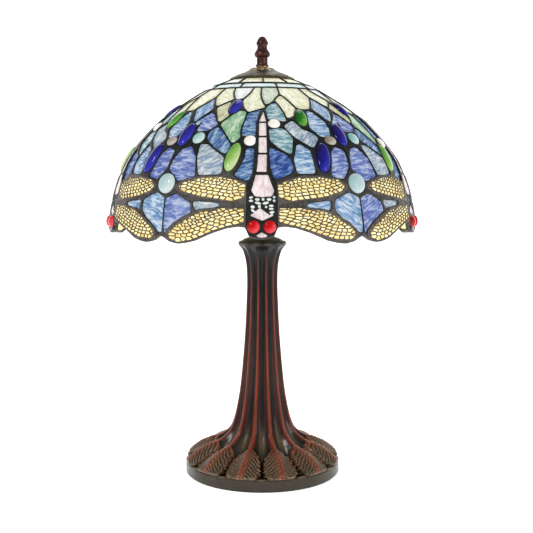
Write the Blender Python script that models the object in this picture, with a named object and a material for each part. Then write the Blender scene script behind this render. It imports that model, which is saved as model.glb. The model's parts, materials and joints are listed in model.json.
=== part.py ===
"""Stained glass table lamp: a fluted, leaf-footed cast base, a lampholder with a small bulb, a harp, and a leaded glass dome with five dragonflies. Metres, +Z up, front towards -Y, standing on Z = 0. Dimensions below are in millimetres."""

import math

import bpy
import numpy as np
from mathutils import Vector, geometry

MM = 0.001
GAP = 0.3

# Base casting: twelve ribs that turn out into twelve leaves
RIBS = 12
COLUMNS = 48
FLUTE_SHARPNESS = 1.6
FELT_RADIUS, FELT_THICKNESS = 76.0, 1.5
PLINTH_RADIUS, PLINTH_BOTTOM = 77.9, 1.8
# (valley radius, valley z, rib radius, rib z) from the crown's lip to the plinth
OUTSIDE = [
    (23.6, 234.9, 23.6, 234.9),
    (24.3, 233.9, 24.3, 233.9),
    (20.6, 229.8, 21.3, 229.8),
    (18.3, 226.0, 20.0, 226.0),
    (16.2, 221.5, 18.5, 221.5),
    (14.3, 216.0, 17.2, 216.0),
    (12.9, 207.0, 16.1, 207.0),
    (13.3, 172.0, 16.5, 172.0),
    (15.6, 128.0, 19.1, 128.0),
    (19.6, 84.0, 23.6, 84.0),
    (22.5, 66.0, 26.8, 66.0),
    (25.6, 52.5, 30.0, 53.0),
    (30.0, 41.5, 34.5, 43.0),
    (36.0, 33.0, 42.8, 36.0),
    (43.0, 26.8, 52.8, 31.2),
    (52.0, 21.0, 63.5, 25.4),
    (61.0, 16.4, 71.5, 19.2),
    (69.5, 13.6, 75.4, 14.9),
    (77.2, 12.4, 77.2, 12.4),
    (77.9, 11.4, 77.9, 11.4),
    (77.9, 1.8, 77.9, 1.8),
]
# (radius, z) up the inside, from the plinth's lower edge to the crown's lip
INSIDE = [
    (74.0, 1.8),
    (73.4, 10.2),
    (46.0, 19.5),
    (33.0, 28.0),
    (5.4, 28.0),
    (5.4, 32.0),
    (22.0, 32.0),
    (13.0, 95.0),
    (9.4, 150.0),
    (9.2, 208.0),
    (15.0, 232.6),
    (21.9, 232.6),
    (22.5, 234.6),
]
INLET_Z, INLET_HOLE_RADIUS = 6.0, 3.8
GROMMET_RADIUS, GROMMET_BORE, GROMMET_FLANGE = 3.5, 3.05, 4.3

# Threaded pipe and what clamps the base
PIPE_RADIUS, PIPE_BORE, PIPE_BOTTOM, PIPE_TOP = 4.9, 3.6, 13.0, 252.6
CLEAR_HOLE = 5.3
WASHER_RADIUS, LOCK_WASHER_RADIUS, NUT_RADIUS = 13.0, 9.0, 9.4
# The domed plate on the crown, (radius, z) over its top and back along its underside
CROWN_PLATE = [
    (21.6, 232.9),
    (22.0, 235.0),
    (18.5, 237.4),
    (13.0, 239.4),
    (8.0, 240.4),
    (5.3, 240.7),
    (5.3, 239.5),
    (12.6, 238.0),
    (17.8, 235.8),
    (20.2, 232.9),
]
CROWN_NUT_BOTTOM, CROWN_NUT_TOP = 241.0, 245.0

# Lampholder and bulb. Heights here are above the saddle's underside, HOLDER_Z
HOLDER_Z = 245.4
SADDLE_THICKNESS, SADDLE_WIDTH, SADDLE_TOP = 1.5, 3.2, 17.2
HARP_HALF_WIDTH = 20.0
SOCKET_CAP = [
    (5.3, 1.8),
    (7.0, 1.8),
    (12.0, 3.6),
    (15.2, 7.6),
    (16.5, 12.2),
    (16.5, 15.2),
    (15.7, 15.2),
    (15.7, 12.4),
    (14.4, 8.1),
    (11.6, 4.6),
    (6.9, 2.9),
    (5.3, 2.9),
]
SOCKET_BODY = [(0, 8.2), (12.6, 8.2), (14.6, 12.7), (14.6, 23.2), (0, 23.2)]
SHELL_RADIUS, SHELL_BORE, SHELL_BOTTOM, SHELL_TOP = 16.4, 15.8, 15.5, 49.2
LINER_RADIUS, LINER_BORE, LINER_BOTTOM, LINER_TOP = 15.5, 15.0, 15.8, 48.2
SCREW_RADIUS, SCREW_BORE, SCREW_BOTTOM, SCREW_TOP = 14.65, 14.2, 23.5, 47.2
CENTRE_CONTACT = [(0, 23.5), (4.0, 23.5), (4.0, 24.6), (2.5, 25.2), (0, 25.2)]
SWITCH_HEIGHT, SWITCH_HOLE_RADIUS = 19.7, 2.3
# (radius, distance from the lamp's axis)
SWITCH_STEM = [(0, 15.1), (1.9, 15.1), (1.9, 26.0), (0, 26.0)]
SWITCH_KNOB = [(0, 26.3), (2.8, 26.3), (4.5, 27.5), (4.5, 33.5), (3.4, 35.0), (0, 35.0)]
BULB_CONTACT = [(0, 25.5), (3.4, 25.5), (4.4, 26.4), (4.4, 27.6), (0, 27.6)]
BULB_BASE = [
    (0, 27.9),
    (5.0, 27.9),
    (13.7, 31.6),
    (13.7, 51.2),
    (13.1, 51.2),
    (13.1, 33.2),
    (0, 33.2),
]
BULB_GLASS = [
    (12.6, 41.2),
    (12.6, 51.4),
    (14.2, 58.2),
    (18.4, 70.2),
    (22.4, 81.2),
    (24.0, 92.2),
    (22.6, 102.7),
    (18.0, 110.7),
    (10.0, 115.2),
    (0, 116.2),
]
BULB_GLASS_THICKNESS = 0.8
BULB_STEM = [
    (0, 35.2),
    (9.5, 35.2),
    (9.5, 37.2),
    (4.0, 43.2),
    (2.6, 64.2),
    (1.2, 67.2),
    (1.2, 87.2),
    (0, 87.8),
]

# Harp and stud: the bow's path, (distance from the axis, z)
WIRE_RADIUS = 1.5
HARP_PATH = [
    (20.0, 262.9),
    (20.0, 283.0),
    (22.5, 291.0),
    (29.0, 301.0),
    (35.0, 314.0),
    (38.0, 330.0),
    (37.0, 346.0),
    (32.0, 361.0),
    (23.0, 375.0),
    (12.0, 386.0),
    (4.0, 390.4),
    (0.0, 391.0),
]
FERRULE_RADIUS, FERRULE_BORE, FERRULE_BOTTOM, FERRULE_TOP = 2.9, 2.0, 257.1, 268.6
STUD_RADIUS, STUD_TOP = 3.1, 420.0

# Shade: the outer profile of the dome, (radius, z) from the cap down
DOME = [
    (28.0, 395.0),
    (41.0, 391.0),
    (55.0, 384.2),
    (69.5, 375.6),
    (84.5, 365.8),
    (97.8, 355.6),
    (109.0, 345.4),
    (118.2, 335.6),
    (126.3, 325.6),
    (133.6, 315.0),
    (138.8, 304.0),
    (142.8, 293.0),
    (146.0, 282.0),
    (148.4, 271.0),
    (150.2, 260.0),
    (151.0, 250.0),
    (151.0, 238.0),
]
SECTORS = 5
SECTOR = 360.0 / SECTORS
GLASS_THICKNESS = 3.0
PANEL_ROWS = 9
PANEL_SEAM = 0.1  # degrees
# The scalloped rim from the middle of a panel outwards, as (degrees, arc length down from the dome's top edge)
RIM = [
    (0.0, 206.6),
    (4.3, 203.6),
    (5.0, 196.0),
    (10.5, 196.0),
    (16.5, 201.2),
    (22.8, 208.6),
    (29.2, 211.2),
    (36.0 - PANEL_SEAM, 204.8),
]

# One dragonfly, as (degrees, arc length) down its right side
DRAGONFLY = [
    (0.9, 76.5),
    (1.9, 92.0),
    (2.0, 110.0),
    (2.2, 129.0),
    (2.6, 147.0),
    (3.2, 153.5),
    (4.8, 157.8),
    (9.0, 155.2),
    (15.0, 152.0),
    (22.0, 153.8),
    (28.0, 157.2),
    (30.8, 161.8),
    (28.0, 167.2),
    (20.0, 171.2),
    (9.0, 174.2),
    (5.2, 176.0),
    (5.2, 180.8),
    (9.0, 179.5),
    (15.0, 181.8),
    (22.0, 184.2),
    (26.5, 189.2),
    (30.5, 195.2),
    (33.3, 201.2),
    (33.2, 206.3),
    (30.0, 209.8),
    (22.6, 207.2),
    (15.8, 200.4),
    (9.5, 194.8),
    (5.2, 196.0),
    (4.7, 203.0),
    (1.7, 203.6),
    (0.0, 206.2),
]
DRAGONFLY_LIFT, DRAGONFLY_THICKNESS = 0.9, 1.0
EYE_ANGLE, EYE_ARC, EYE_RADIUS, EYE_HEIGHT = 2.65, 195.6, 5.5, 5.2
JEWEL_ARC, JEWEL_WIDTH, JEWEL_LENGTH, JEWEL_HEIGHT = 158.0, 17.4, 18.4, 4.4

# Cap, ring and finial
CAP_OUTSIDE = [
    (3.6, 406.9),
    (7.5, 406.7),
    (13.4, 404.2),
    (22.0, 400.7),
    (28.8, 397.6),
    (32.6, 395.2),
    (32.6, 394.4),
]
CAP_INSIDE = [
    (31.6, 394.8),
    (21.6, 399.9),
    (13.0, 403.4),
    (7.2, 405.9),
    (3.6, 406.1),
]
CAP_VENTS, VENT_RADIUS, VENT_CIRCLE = 12, 1.1, 12.5
RING_RADIUS, RING_BORE, RING_BOTTOM, RING_TOP = 26.6, 22.5, 391.0, 395.4
FINIAL_BOTTOM, FINIAL_BORE_TOP, FINIAL_BORE = 408.3, 422.5, 4.8
FINIAL = [
    (6.7, 408.3),
    (6.4, 409.6),
    (5.7, 410.8),
    (5.6, 414.6),
    (6.7, 416.4),
    (7.7, 418.4),
    (7.9, 420.4),
    (7.6, 422.2),
    (6.4, 424.2),
    (5.0, 426.6),
    (5.3, 428.4),
    (6.1, 430.0),
    (5.7, 431.8),
    (4.7, 433.9),
    (2.9, 436.3),
    (0.0, 437.7),
]

# (colour, metallic, roughness, alpha)
BRONZE = ((0.075, 0.045, 0.032), 0.75, 0.48, 1.0)
ANTIQUE_BRASS = ((0.23, 0.17, 0.09), 0.9, 0.38, 1.0)
BRASS = ((0.72, 0.52, 0.22), 1.0, 0.3, 1.0)
STEEL = ((0.55, 0.55, 0.56), 1.0, 0.32, 1.0)
FELT = ((0.02, 0.05, 0.03), 0.0, 0.95, 1.0)
RUBBER = ((0.02, 0.02, 0.02), 0.0, 0.6, 1.0)
PLASTIC = ((0.03, 0.028, 0.026), 0.0, 0.35, 1.0)
FIBRE = ((0.5, 0.38, 0.22), 0.0, 0.85, 1.0)
CLEAR = ((0.95, 0.93, 0.88), 0.0, 0.05, 0.35)
BLUE_GLASS = ((0.16, 0.27, 0.62), 0.0, 0.15, 1.0)
WING_GLASS = ((0.85, 0.7, 0.3), 0.1, 0.3, 1.0)
RED_JEWEL = ((0.7, 0.02, 0.03), 0.0, 0.08, 1.0)
BLUE_JEWEL = ((0.5, 0.72, 0.85), 0.0, 0.08, 1.0)
RUSSET = ((0.2, 0.085, 0.06), 0.7, 0.45, 1.0)


def clear_scene():
    for obj in list(bpy.data.objects):
        bpy.data.objects.remove(obj, do_unlink=True)


def finish_of(name, finish):
    """A material of the part's own."""
    colour, metallic, roughness, alpha = finish
    material = bpy.data.materials.new(name)
    material.use_nodes = True
    shader = material.node_tree.nodes["Principled BSDF"]
    shader.inputs["Base Color"].default_value = (*colour, 1.0)
    shader.inputs["Metallic"].default_value = metallic
    shader.inputs["Roughness"].default_value = roughness
    shader.inputs["Alpha"].default_value = alpha
    return material


def signed_volume(points, faces):
    total = 0.0
    for face in faces:
        a = points[face[0]]
        for i in range(1, len(face) - 1):
            total += np.dot(a, np.cross(points[face[i]], points[face[i + 1]]))
    return total


def solid(name, points, faces, finish, helper=False):
    """One object from a closed mesh in millimetres, its faces turned outwards."""
    points = np.array(points, float)
    if signed_volume(points, faces) < 0:
        faces = [tuple(reversed(face)) for face in faces]
    mesh = bpy.data.meshes.new(name)
    mesh.from_pydata((points * MM).tolist(), [], faces)
    mesh.update()
    obj = bpy.data.objects.new(name, mesh)
    bpy.context.scene.collection.objects.link(obj)
    if helper:
        obj.hide_render = True
        obj.display_type = "WIRE"
    else:
        obj.data.materials.append(finish_of(name, finish))
    return obj


def polar(radius, degrees, z):
    """A point at this angle round the axis, with 0 at the front and positive towards +X."""
    angle = math.radians(degrees)
    return (radius * math.sin(angle), -radius * math.cos(angle), z)


def skin(rings, closed):
    """Points and quads that join rings of equal length. A ring of one point is a pole; closed joins the last ring to the first."""
    points, starts = [], []
    for ring in rings:
        starts.append(len(points))
        points.extend(ring)
    faces = []
    pairs = list(zip(range(len(rings)), range(1, len(rings))))
    if closed:
        pairs.append((len(rings) - 1, 0))
    for a, b in pairs:
        count = max(len(rings[a]), len(rings[b]))
        for i in range(count):
            j = (i + 1) % count
            if len(rings[a]) == 1:
                faces.append((starts[a], starts[b] + j, starts[b] + i))
            elif len(rings[b]) == 1:
                faces.append((starts[a] + i, starts[a] + j, starts[b]))
            else:
                faces.append(
                    (starts[a] + i, starts[a] + j, starts[b] + j, starts[b] + i)
                )
    return points, faces


def lathe(name, profile, sides, finish, centre=(0.0, 0.0), turn=0.0, helper=False):
    """Turns a profile round a vertical axis: from pole to pole if it ends at radius 0, else as a closed loop."""
    rings = []
    for radius, z in profile:
        if radius == 0:
            rings.append([(centre[0], centre[1], z)])
            continue
        ring = [polar(radius, turn + 360.0 * i / sides, z) for i in range(sides)]
        rings.append([(x + centre[0], y + centre[1], z) for x, y, z in ring])
    closed = profile[0][0] != 0 or profile[-1][0] != 0
    return solid(name, *skin(rings, closed), finish, helper)


def along_y(obj, z):
    """Turns a part made round the vertical axis so that its axis points to +Y at this height; its z values become y."""
    for vertex in obj.data.vertices:
        x, y, height = vertex.co
        vertex.co = (x, height, -y + z * MM)
    return obj


def along_x(obj, z):
    """The same, with the axis pointing to +X."""
    for vertex in obj.data.vertices:
        x, y, height = vertex.co
        vertex.co = (height, y, -x + z * MM)
    return obj


def washer(name, radius, hole, bottom, top, sides, finish, turn=0.0):
    profile = [(hole, bottom), (radius, bottom), (radius, top), (hole, top)]
    return lathe(name, profile, sides, finish, turn=turn)


def nut(name, radius, hole, bottom, top, finish):
    """A hexagon nut with a round hole; radius is to its corners."""
    turns = [15.0 * i for i in range(24)]
    flat = radius * math.cos(math.radians(30.0))
    edge = [flat / math.cos(math.radians(turn % 60.0 - 30.0)) for turn in turns]
    rings = [
        [polar(r, turn, z) for r, turn in zip(radii, turns)]
        for radii, z in (
            ([hole] * 24, bottom),
            (edge, bottom),
            (edge, top),
            ([hole] * 24, top),
        )
    ]
    return solid(name, *skin(rings, True), finish)


def tube(name, path, radius, sides, finish):
    """A round wire along a path in the YZ plane, with closed ends."""
    path = [Vector((0.0, y, z)) for y, z in path]
    across = Vector((1.0, 0.0, 0.0))
    rings = [[tuple(path[0])]]
    for i, point in enumerate(path):
        ahead = path[min(i + 1, len(path) - 1)] - path[max(i - 1, 0)]
        side = ahead.normalized().cross(across)
        rings.append(
            [
                tuple(
                    point
                    + radius * math.cos(turn) * side
                    + radius * math.sin(turn) * across
                )
                for turn in (2 * math.pi * k / sides for k in range(sides))
            ]
        )
    rings.append([tuple(path[-1])])
    return solid(name, *skin(rings, False), finish)


def bar(name, corners, width, finish, helper=False):
    """An outline in the YZ plane, extruded to a width across X."""
    count = len(corners)
    points = [(-width / 2, y, z) for y, z in corners]
    points += [(width / 2, y, z) for y, z in corners]
    faces = [tuple(range(count)), tuple(reversed(range(count, 2 * count)))]
    for i in range(count):
        j = (i + 1) % count
        faces.append((j, i, i + count, j + count))
    return solid(name, points, faces, finish, helper)


def boolean(obj, other, operation):
    modifier = obj.modifiers.new(operation.lower(), "BOOLEAN")
    modifier.operation = operation
    modifier.solver = "EXACT"
    modifier.object = other


def smooth_curve(points, steps):
    """A Catmull-Rom curve through the points."""
    points = np.array(points, float)
    ends = np.vstack([2 * points[0] - points[1], points, 2 * points[-1] - points[-2]])
    curve = []
    for i in range(1, len(ends) - 2):
        a, b, c, d = ends[i - 1 : i + 3]
        for t in np.arange(steps) / steps:
            curve.append(
                0.5
                * (
                    2 * b
                    + (c - a) * t
                    + (2 * a - 5 * b + 4 * c - d) * t**2
                    + (3 * b - a - 3 * c + d) * t**3
                )
            )
    curve.append(points[-1])
    return np.array(curve)


DOME_CURVE = smooth_curve(DOME, 12)
DOME_ARC = np.concatenate(
    [[0.0], np.cumsum(np.linalg.norm(np.diff(DOME_CURVE, axis=0), axis=1))]
)


def dome_frame(arc):
    """(radius, z, normal's radius, normal's z) at an arc length down the dome."""
    radius, z = (np.interp(arc, DOME_ARC, DOME_CURVE[:, k]) for k in (0, 1))
    step = np.array(
        [
            np.interp(arc + 2, DOME_ARC, DOME_CURVE[:, k])
            - np.interp(arc - 2, DOME_ARC, DOME_CURVE[:, k])
            for k in (0, 1)
        ]
    )
    step = step / np.linalg.norm(step)
    return radius, z, -step[1], step[0]


def on_dome(degrees, arc, lift):
    """A point on the dome, raised along its normal."""
    radius, z, out, up = dome_frame(arc)
    return polar(radius + out * lift, degrees, z + up * lift)


def base_casting():
    """The hollow, fluted casting. Every ring has the same columns, so the leaves, trunk and inside join without a seam."""

    def share(degrees):
        wave = 0.5 + 0.5 * math.cos(math.radians(RIBS * (degrees - 15.0)))
        return wave**FLUTE_SHARPNESS

    angles = [360.0 * i / COLUMNS for i in range(COLUMNS)]
    rings = []
    for valley_r, valley_z, rib_r, rib_z in OUTSIDE:
        rings.append(
            [
                polar(
                    valley_r + (rib_r - valley_r) * share(a),
                    a,
                    valley_z + (rib_z - valley_z) * share(a),
                )
                for a in angles
            ]
        )
    for radius, z in INSIDE:
        rings.append([polar(radius, a, z) for a in angles])
    obj = solid("base_casting", *skin(rings, True), BRONZE)
    cutter = lathe(
        "inlet_cutter",
        [(0, 60.0), (INLET_HOLE_RADIUS, 60.0), (INLET_HOLE_RADIUS, 90.0), (0, 90.0)],
        16,
        None,
        helper=True,
    )
    boolean(obj, along_y(cutter, INLET_Z), "DIFFERENCE")
    return obj


def base_fittings():
    lathe(
        "felt_pad",
        [(0, 0), (FELT_RADIUS, 0), (FELT_RADIUS, FELT_THICKNESS), (0, FELT_THICKNESS)],
        48,
        FELT,
    )
    wall = PLINTH_RADIUS + GAP
    grommet = lathe(
        "cord_grommet",
        [
            (GROMMET_BORE, 73.0),
            (GROMMET_RADIUS, 73.0),
            (GROMMET_RADIUS, wall),
            (GROMMET_FLANGE, wall),
            (GROMMET_FLANGE, wall + 1.2),
            (GROMMET_BORE, wall + 1.2),
        ],
        16,
        RUBBER,
    )
    along_y(grommet, INLET_Z)
    washer("lamp_pipe", PIPE_RADIUS, PIPE_BORE, PIPE_BOTTOM, PIPE_TOP, 16, STEEL)
    washer("bottom_washer", WASHER_RADIUS, CLEAR_HOLE, 25.2, 27.7, 24, STEEL)
    washer("bottom_lock_washer", LOCK_WASHER_RADIUS, CLEAR_HOLE, 23.4, 24.9, 20, STEEL)
    nut("bottom_nut", NUT_RADIUS, CLEAR_HOLE, 16.0, 23.1, STEEL)
    lathe("crown_plate", CROWN_PLATE, 24, BRONZE)
    nut("crown_nut", NUT_RADIUS, CLEAR_HOLE, CROWN_NUT_BOTTOM, CROWN_NUT_TOP, BRASS)


def raised(profile):
    return [(radius, z + HOLDER_Z) for radius, z in profile]


def lampholder():
    low, high = HOLDER_Z, HOLDER_Z + SADDLE_THICKNESS
    saddle = washer("harp_saddle", 9.5, CLEAR_HOLE, low, high, 24, BRASS)
    inner, outer = HARP_HALF_WIDTH - 0.6, HARP_HALF_WIDTH + 0.6
    for side, word in ((-1, "front"), (1, "back")):
        corners = [
            (7.5, low),
            (outer - 0.8, low),
            (outer, low + 0.8),
            (outer, HOLDER_Z + SADDLE_TOP),
            (inner, HOLDER_Z + SADDLE_TOP),
            (inner, high),
            (7.5, high),
        ]
        corners = [(side * y, z) for y, z in corners]
        arm = bar(f"saddle_arm_{word}", corners, SADDLE_WIDTH, None, helper=True)
        boolean(saddle, arm, "UNION")

    lathe("socket_cap", raised(SOCKET_CAP), 16, BRASS)
    lathe("socket_body", raised(SOCKET_BODY), 20, PLASTIC)
    tubes = {}
    for name, sizes, finish in (
        ("socket_shell", (SHELL_RADIUS, SHELL_BORE, SHELL_BOTTOM, SHELL_TOP), BRASS),
        ("socket_insulator", (LINER_RADIUS, LINER_BORE, LINER_BOTTOM, LINER_TOP), FIBRE),
        ("socket_screw_shell", (SCREW_RADIUS, SCREW_BORE, SCREW_BOTTOM, SCREW_TOP), BRASS),
    ):
        radius, bore, bottom, top = sizes
        tubes[name] = washer(
            name, radius, bore, bottom + HOLDER_Z, top + HOLDER_Z, 24, finish
        )
    hole = [(0, 12.0), (SWITCH_HOLE_RADIUS, 12.0), (SWITCH_HOLE_RADIUS, 20.0), (0, 20.0)]
    switch_z = HOLDER_Z + SWITCH_HEIGHT
    cutter = along_x(lathe("switch_cutter", hole, 12, None, helper=True), switch_z)
    boolean(tubes["socket_shell"], cutter, "DIFFERENCE")
    boolean(tubes["socket_insulator"], cutter, "DIFFERENCE")
    lathe("socket_centre_contact", raised(CENTRE_CONTACT), 12, BRASS)
    along_x(lathe("switch_stem", SWITCH_STEM, 10, BRASS), switch_z)
    along_x(lathe("switch_knob", SWITCH_KNOB, 12, PLASTIC), switch_z)


def bulb():
    lathe("bulb_contact", raised(BULB_CONTACT), 12, STEEL)
    lathe("bulb_base", raised(BULB_BASE), 24, STEEL)
    wall = BULB_GLASS_THICKNESS
    inside = [
        (max(radius - wall, 0), z - (wall if z > 100 else 0)) for radius, z in BULB_GLASS
    ]
    lathe("bulb_glass", raised(inside[::-1] + BULB_GLASS), 20, CLEAR)
    lathe("bulb_stem", raised(BULB_STEM), 10, CLEAR)


def harp():
    path = HARP_PATH + [(-y, z) for y, z in HARP_PATH[-2::-1]]
    tube("harp_bow", path, WIRE_RADIUS, 8, BRASS)
    for side, word in ((-1, "front"), (1, "back")):
        lathe(
            f"harp_ferrule_{word}",
            [
                (FERRULE_BORE, FERRULE_BOTTOM),
                (FERRULE_RADIUS, FERRULE_BOTTOM),
                (FERRULE_RADIUS, FERRULE_TOP - 1.0),
                (FERRULE_RADIUS - 0.4, FERRULE_TOP),
                (FERRULE_BORE, FERRULE_TOP),
            ],
            12,
            BRASS,
            centre=(0.0, side * HARP_HALF_WIDTH),
        )
    lathe(
        "harp_stud",
        [
            (0, 392.9),
            (3.6, 392.9),
            (3.6, 400.0),
            (6.2, 401.2),
            (6.2, 405.6),
            (STUD_RADIUS, 405.6),
            (STUD_RADIUS, STUD_TOP - 0.6),
            (STUD_RADIUS - 0.6, STUD_TOP),
            (0, STUD_TOP),
        ],
        16,
        BRASS,
    )


def panel(index):
    """One fifth of the glass dome, as a shell with a scalloped rim."""
    middle = index * SECTOR
    rim = [(-angle, end) for angle, end in RIM[:0:-1]] + RIM
    outer, inner = (
        [
            [
                on_dome(middle + angle, end * row / PANEL_ROWS, lift)
                for angle, end in rim
            ]
            for row in range(PANEL_ROWS + 1)
        ]
        for lift in (0.0, -GLASS_THICKNESS)
    )
    points, faces = skin([a + b[::-1] for a, b in zip(outer, inner)], False)
    across = len(rim)
    for i in range(across - 1):
        face = (2 * across - 1 - i, 2 * across - 2 - i, i + 1, i)
        faces.append(face)
        start = len(points) - 2 * across
        faces.append(tuple(start + k for k in face[::-1]))
    return solid(f"shade_panel_{index + 1}", points, faces, BLUE_GLASS)


def plate(name, outline, middle, lift, thickness, finish):
    """A thin plate on the dome inside an outline of (degrees, arc length)."""
    outline = [Vector(point) for point in outline]
    inside = []
    for arc in np.arange(86.0, 210.0, 12.0):
        for degrees in np.arange(-32.0, 33.0, 8.0):
            point = Vector((degrees, arc))
            clear = min(
                math.hypot((p.x - degrees) * 2.6, p.y - arc) for p in outline
            )
            if clear > 3.0:
                inside.append(point)
    count = len(outline)
    edges = [(i, (i + 1) % count) for i in range(count)]
    points, _, faces, *_ = geometry.delaunay_2d_cdt(
        outline + inside, edges, [], 1, 1e-4
    )
    used = sorted({i for face in faces for i in face})
    place = {old: new for new, old in enumerate(used)}
    points = [points[i] for i in used]
    faces = [tuple(place[i] for i in face) for face in faces]
    total = len(points)
    sheets = [
        [on_dome(middle + p.x, p.y, height) for p in points]
        for height in (lift, lift + thickness)
    ]
    ends = {}
    for face in faces:
        for a, b in zip(face, face[1:] + face[:1]):
            ends[(a, b)] = True
    border = [(a, b) for a, b in ends if (b, a) not in ends]
    closed = [tuple(reversed(face)) for face in faces]
    closed += [tuple(i + total for i in face) for face in faces]
    closed += [(a, b, b + total, a + total) for a, b in border]
    return solid(name, sheets[0] + sheets[1], closed, finish)


def dome_jewel(name, degrees, arc, width, length, lift, height, sides, finish):
    """A cabochon that stands on the dome with its flat back parallel to it."""
    _, _, out, up = dome_frame(arc)
    base = Vector(on_dome(degrees, arc, lift))
    normal = Vector(polar(out, degrees, up))
    across = Vector(polar(1.0, degrees + 90.0, 0.0))
    along = normal.cross(across)
    rings = [[tuple(base)]]
    for share, rise in ((1.0, 0.0), (0.96, 0.35), (0.66, 0.82)):
        rings.append(
            [
                tuple(
                    base
                    + across * (0.5 * width * share * math.cos(turn))
                    + along * (0.5 * length * share * math.sin(turn))
                    + normal * (height * rise)
                )
                for turn in (2 * math.pi * k / sides for k in range(sides))
            ]
        )
    rings.append([tuple(base + normal * height)])
    return solid(name, *skin(rings, False), finish)


def shade():
    outline = [(-a, s) for a, s in DRAGONFLY[:-1]][::-1]
    outline = DRAGONFLY + outline
    top = DRAGONFLY_LIFT + DRAGONFLY_THICKNESS + GAP
    for index in range(SECTORS):
        middle = index * SECTOR
        panel(index)
        plate(
            f"dragonfly_{index + 1}",
            outline,
            middle,
            DRAGONFLY_LIFT,
            DRAGONFLY_THICKNESS,
            WING_GLASS,
        )
        for side, word in ((-1, "left"), (1, "right")):
            dome_jewel(
                f"eye_{index + 1}_{word}",
                middle + side * EYE_ANGLE,
                EYE_ARC,
                2 * EYE_RADIUS,
                2 * EYE_RADIUS,
                top,
                EYE_HEIGHT - top,
                10,
                RED_JEWEL,
            )
        dome_jewel(
            f"sky_jewel_{index + 1}",
            middle + SECTOR / 2,
            JEWEL_ARC,
            JEWEL_WIDTH,
            JEWEL_LENGTH,
            DRAGONFLY_LIFT,
            JEWEL_HEIGHT,
            10,
            BLUE_JEWEL,
        )


def shade_top():
    cap = lathe("shade_cap", CAP_OUTSIDE + CAP_INSIDE, 30, ANTIQUE_BRASS)
    vents = [
        polar(VENT_CIRCLE, 360.0 * (i + 0.5) / CAP_VENTS, 0.0)
        for i in range(CAP_VENTS)
    ]
    for i, (x, y, _) in enumerate(vents):
        cutter = lathe(
            f"vent_cutter_{i + 1}",
            [(0, 396.0), (VENT_RADIUS, 396.0), (VENT_RADIUS, 412.0), (0, 412.0)],
            6,
            None,
            centre=(x, y),
            helper=True,
        )
        boolean(cap, cutter, "DIFFERENCE")
    washer("shade_top_ring", RING_RADIUS, RING_BORE, RING_BOTTOM, RING_TOP, 32, BRASS)
    washer("finial_washer", 6.4, 3.6, 407.2, 408.0, 20, BRASS)
    washer("finial_insert", 4.5, 3.4, 408.6, 421.5, 16, BRASS)
    lathe(
        "finial",
        FINIAL
        + [(0, FINIAL_BORE_TOP), (FINIAL_BORE, FINIAL_BORE_TOP), (FINIAL_BORE, FINIAL_BOTTOM)],
        16,
        RUSSET,
    )


clear_scene()
base_casting()
base_fittings()
lampholder()
bulb()
harp()
shade()
shade_top()
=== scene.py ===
"""Stained glass table lamp: the visual model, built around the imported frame."""

import json
import math
import random

import bpy
import numpy as np
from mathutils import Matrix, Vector, geometry


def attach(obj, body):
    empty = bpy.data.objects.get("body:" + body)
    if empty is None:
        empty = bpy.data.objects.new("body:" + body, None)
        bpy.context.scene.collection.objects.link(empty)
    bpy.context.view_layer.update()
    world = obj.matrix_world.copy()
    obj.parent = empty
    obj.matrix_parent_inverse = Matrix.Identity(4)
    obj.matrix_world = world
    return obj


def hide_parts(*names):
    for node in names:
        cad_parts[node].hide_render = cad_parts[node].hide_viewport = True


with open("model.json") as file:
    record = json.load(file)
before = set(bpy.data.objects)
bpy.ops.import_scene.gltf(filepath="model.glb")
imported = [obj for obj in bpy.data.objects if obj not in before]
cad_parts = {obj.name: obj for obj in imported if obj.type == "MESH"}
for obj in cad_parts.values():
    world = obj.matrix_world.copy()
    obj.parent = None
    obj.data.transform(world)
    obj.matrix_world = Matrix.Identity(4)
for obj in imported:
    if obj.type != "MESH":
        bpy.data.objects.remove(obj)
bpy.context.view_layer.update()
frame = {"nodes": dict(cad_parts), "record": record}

SECTORS, SECTOR = 5, 72.0

# ---------------------------------------------------------------- the dome


def catmull(points, steps):
    """A smooth curve through the points, with steps pieces between each two."""
    p = np.array(points, float)
    p = np.vstack([2 * p[0] - p[1], p, 2 * p[-1] - p[-2]])
    t = (np.arange(steps) / steps)[:, None]
    out = []
    for a, b, c, d in zip(p, p[1:], p[2:], p[3:]):
        out.append(
            0.5
            * (
                2 * b
                + (c - a) * t
                + (2 * a - 5 * b + 4 * c - d) * t**2
                + (3 * b - a - 3 * c + d) * t**3
            )
        )
    return np.vstack(out + [p[-2:-1]])


DOME = catmull(
    [
        (28.0, 395.0), (41.0, 391.0), (55.0, 384.2), (69.5, 375.6), (84.5, 365.8),
        (97.8, 355.6), (109.0, 345.4), (118.2, 335.6), (126.3, 325.6), (133.6, 315.0),
        (138.8, 304.0), (142.8, 293.0), (146.0, 282.0), (148.4, 271.0), (150.2, 260.0),
        (151.0, 250.0), (151.0, 238.0),
    ],
    12,
)
ARC = np.concatenate([[0], np.cumsum(np.hypot(*np.diff(DOME, axis=0).T))])
RIM = [
    (0, 206.6), (2.4, 205.6), (4.1, 203.6), (4.9, 199.0), (5.4, 196.2), (8.0, 195.5),
    (11.5, 196.9), (16.5, 201.2), (22.8, 208.4), (26.5, 210.6), (29.2, 211.2),
    (32.4, 209.4), (34.6, 206.0), (36, 204.8),
]


def dome_at(arc):
    return np.interp(arc, ARC, DOME[:, 0]), np.interp(arc, ARC, DOME[:, 1])


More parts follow.
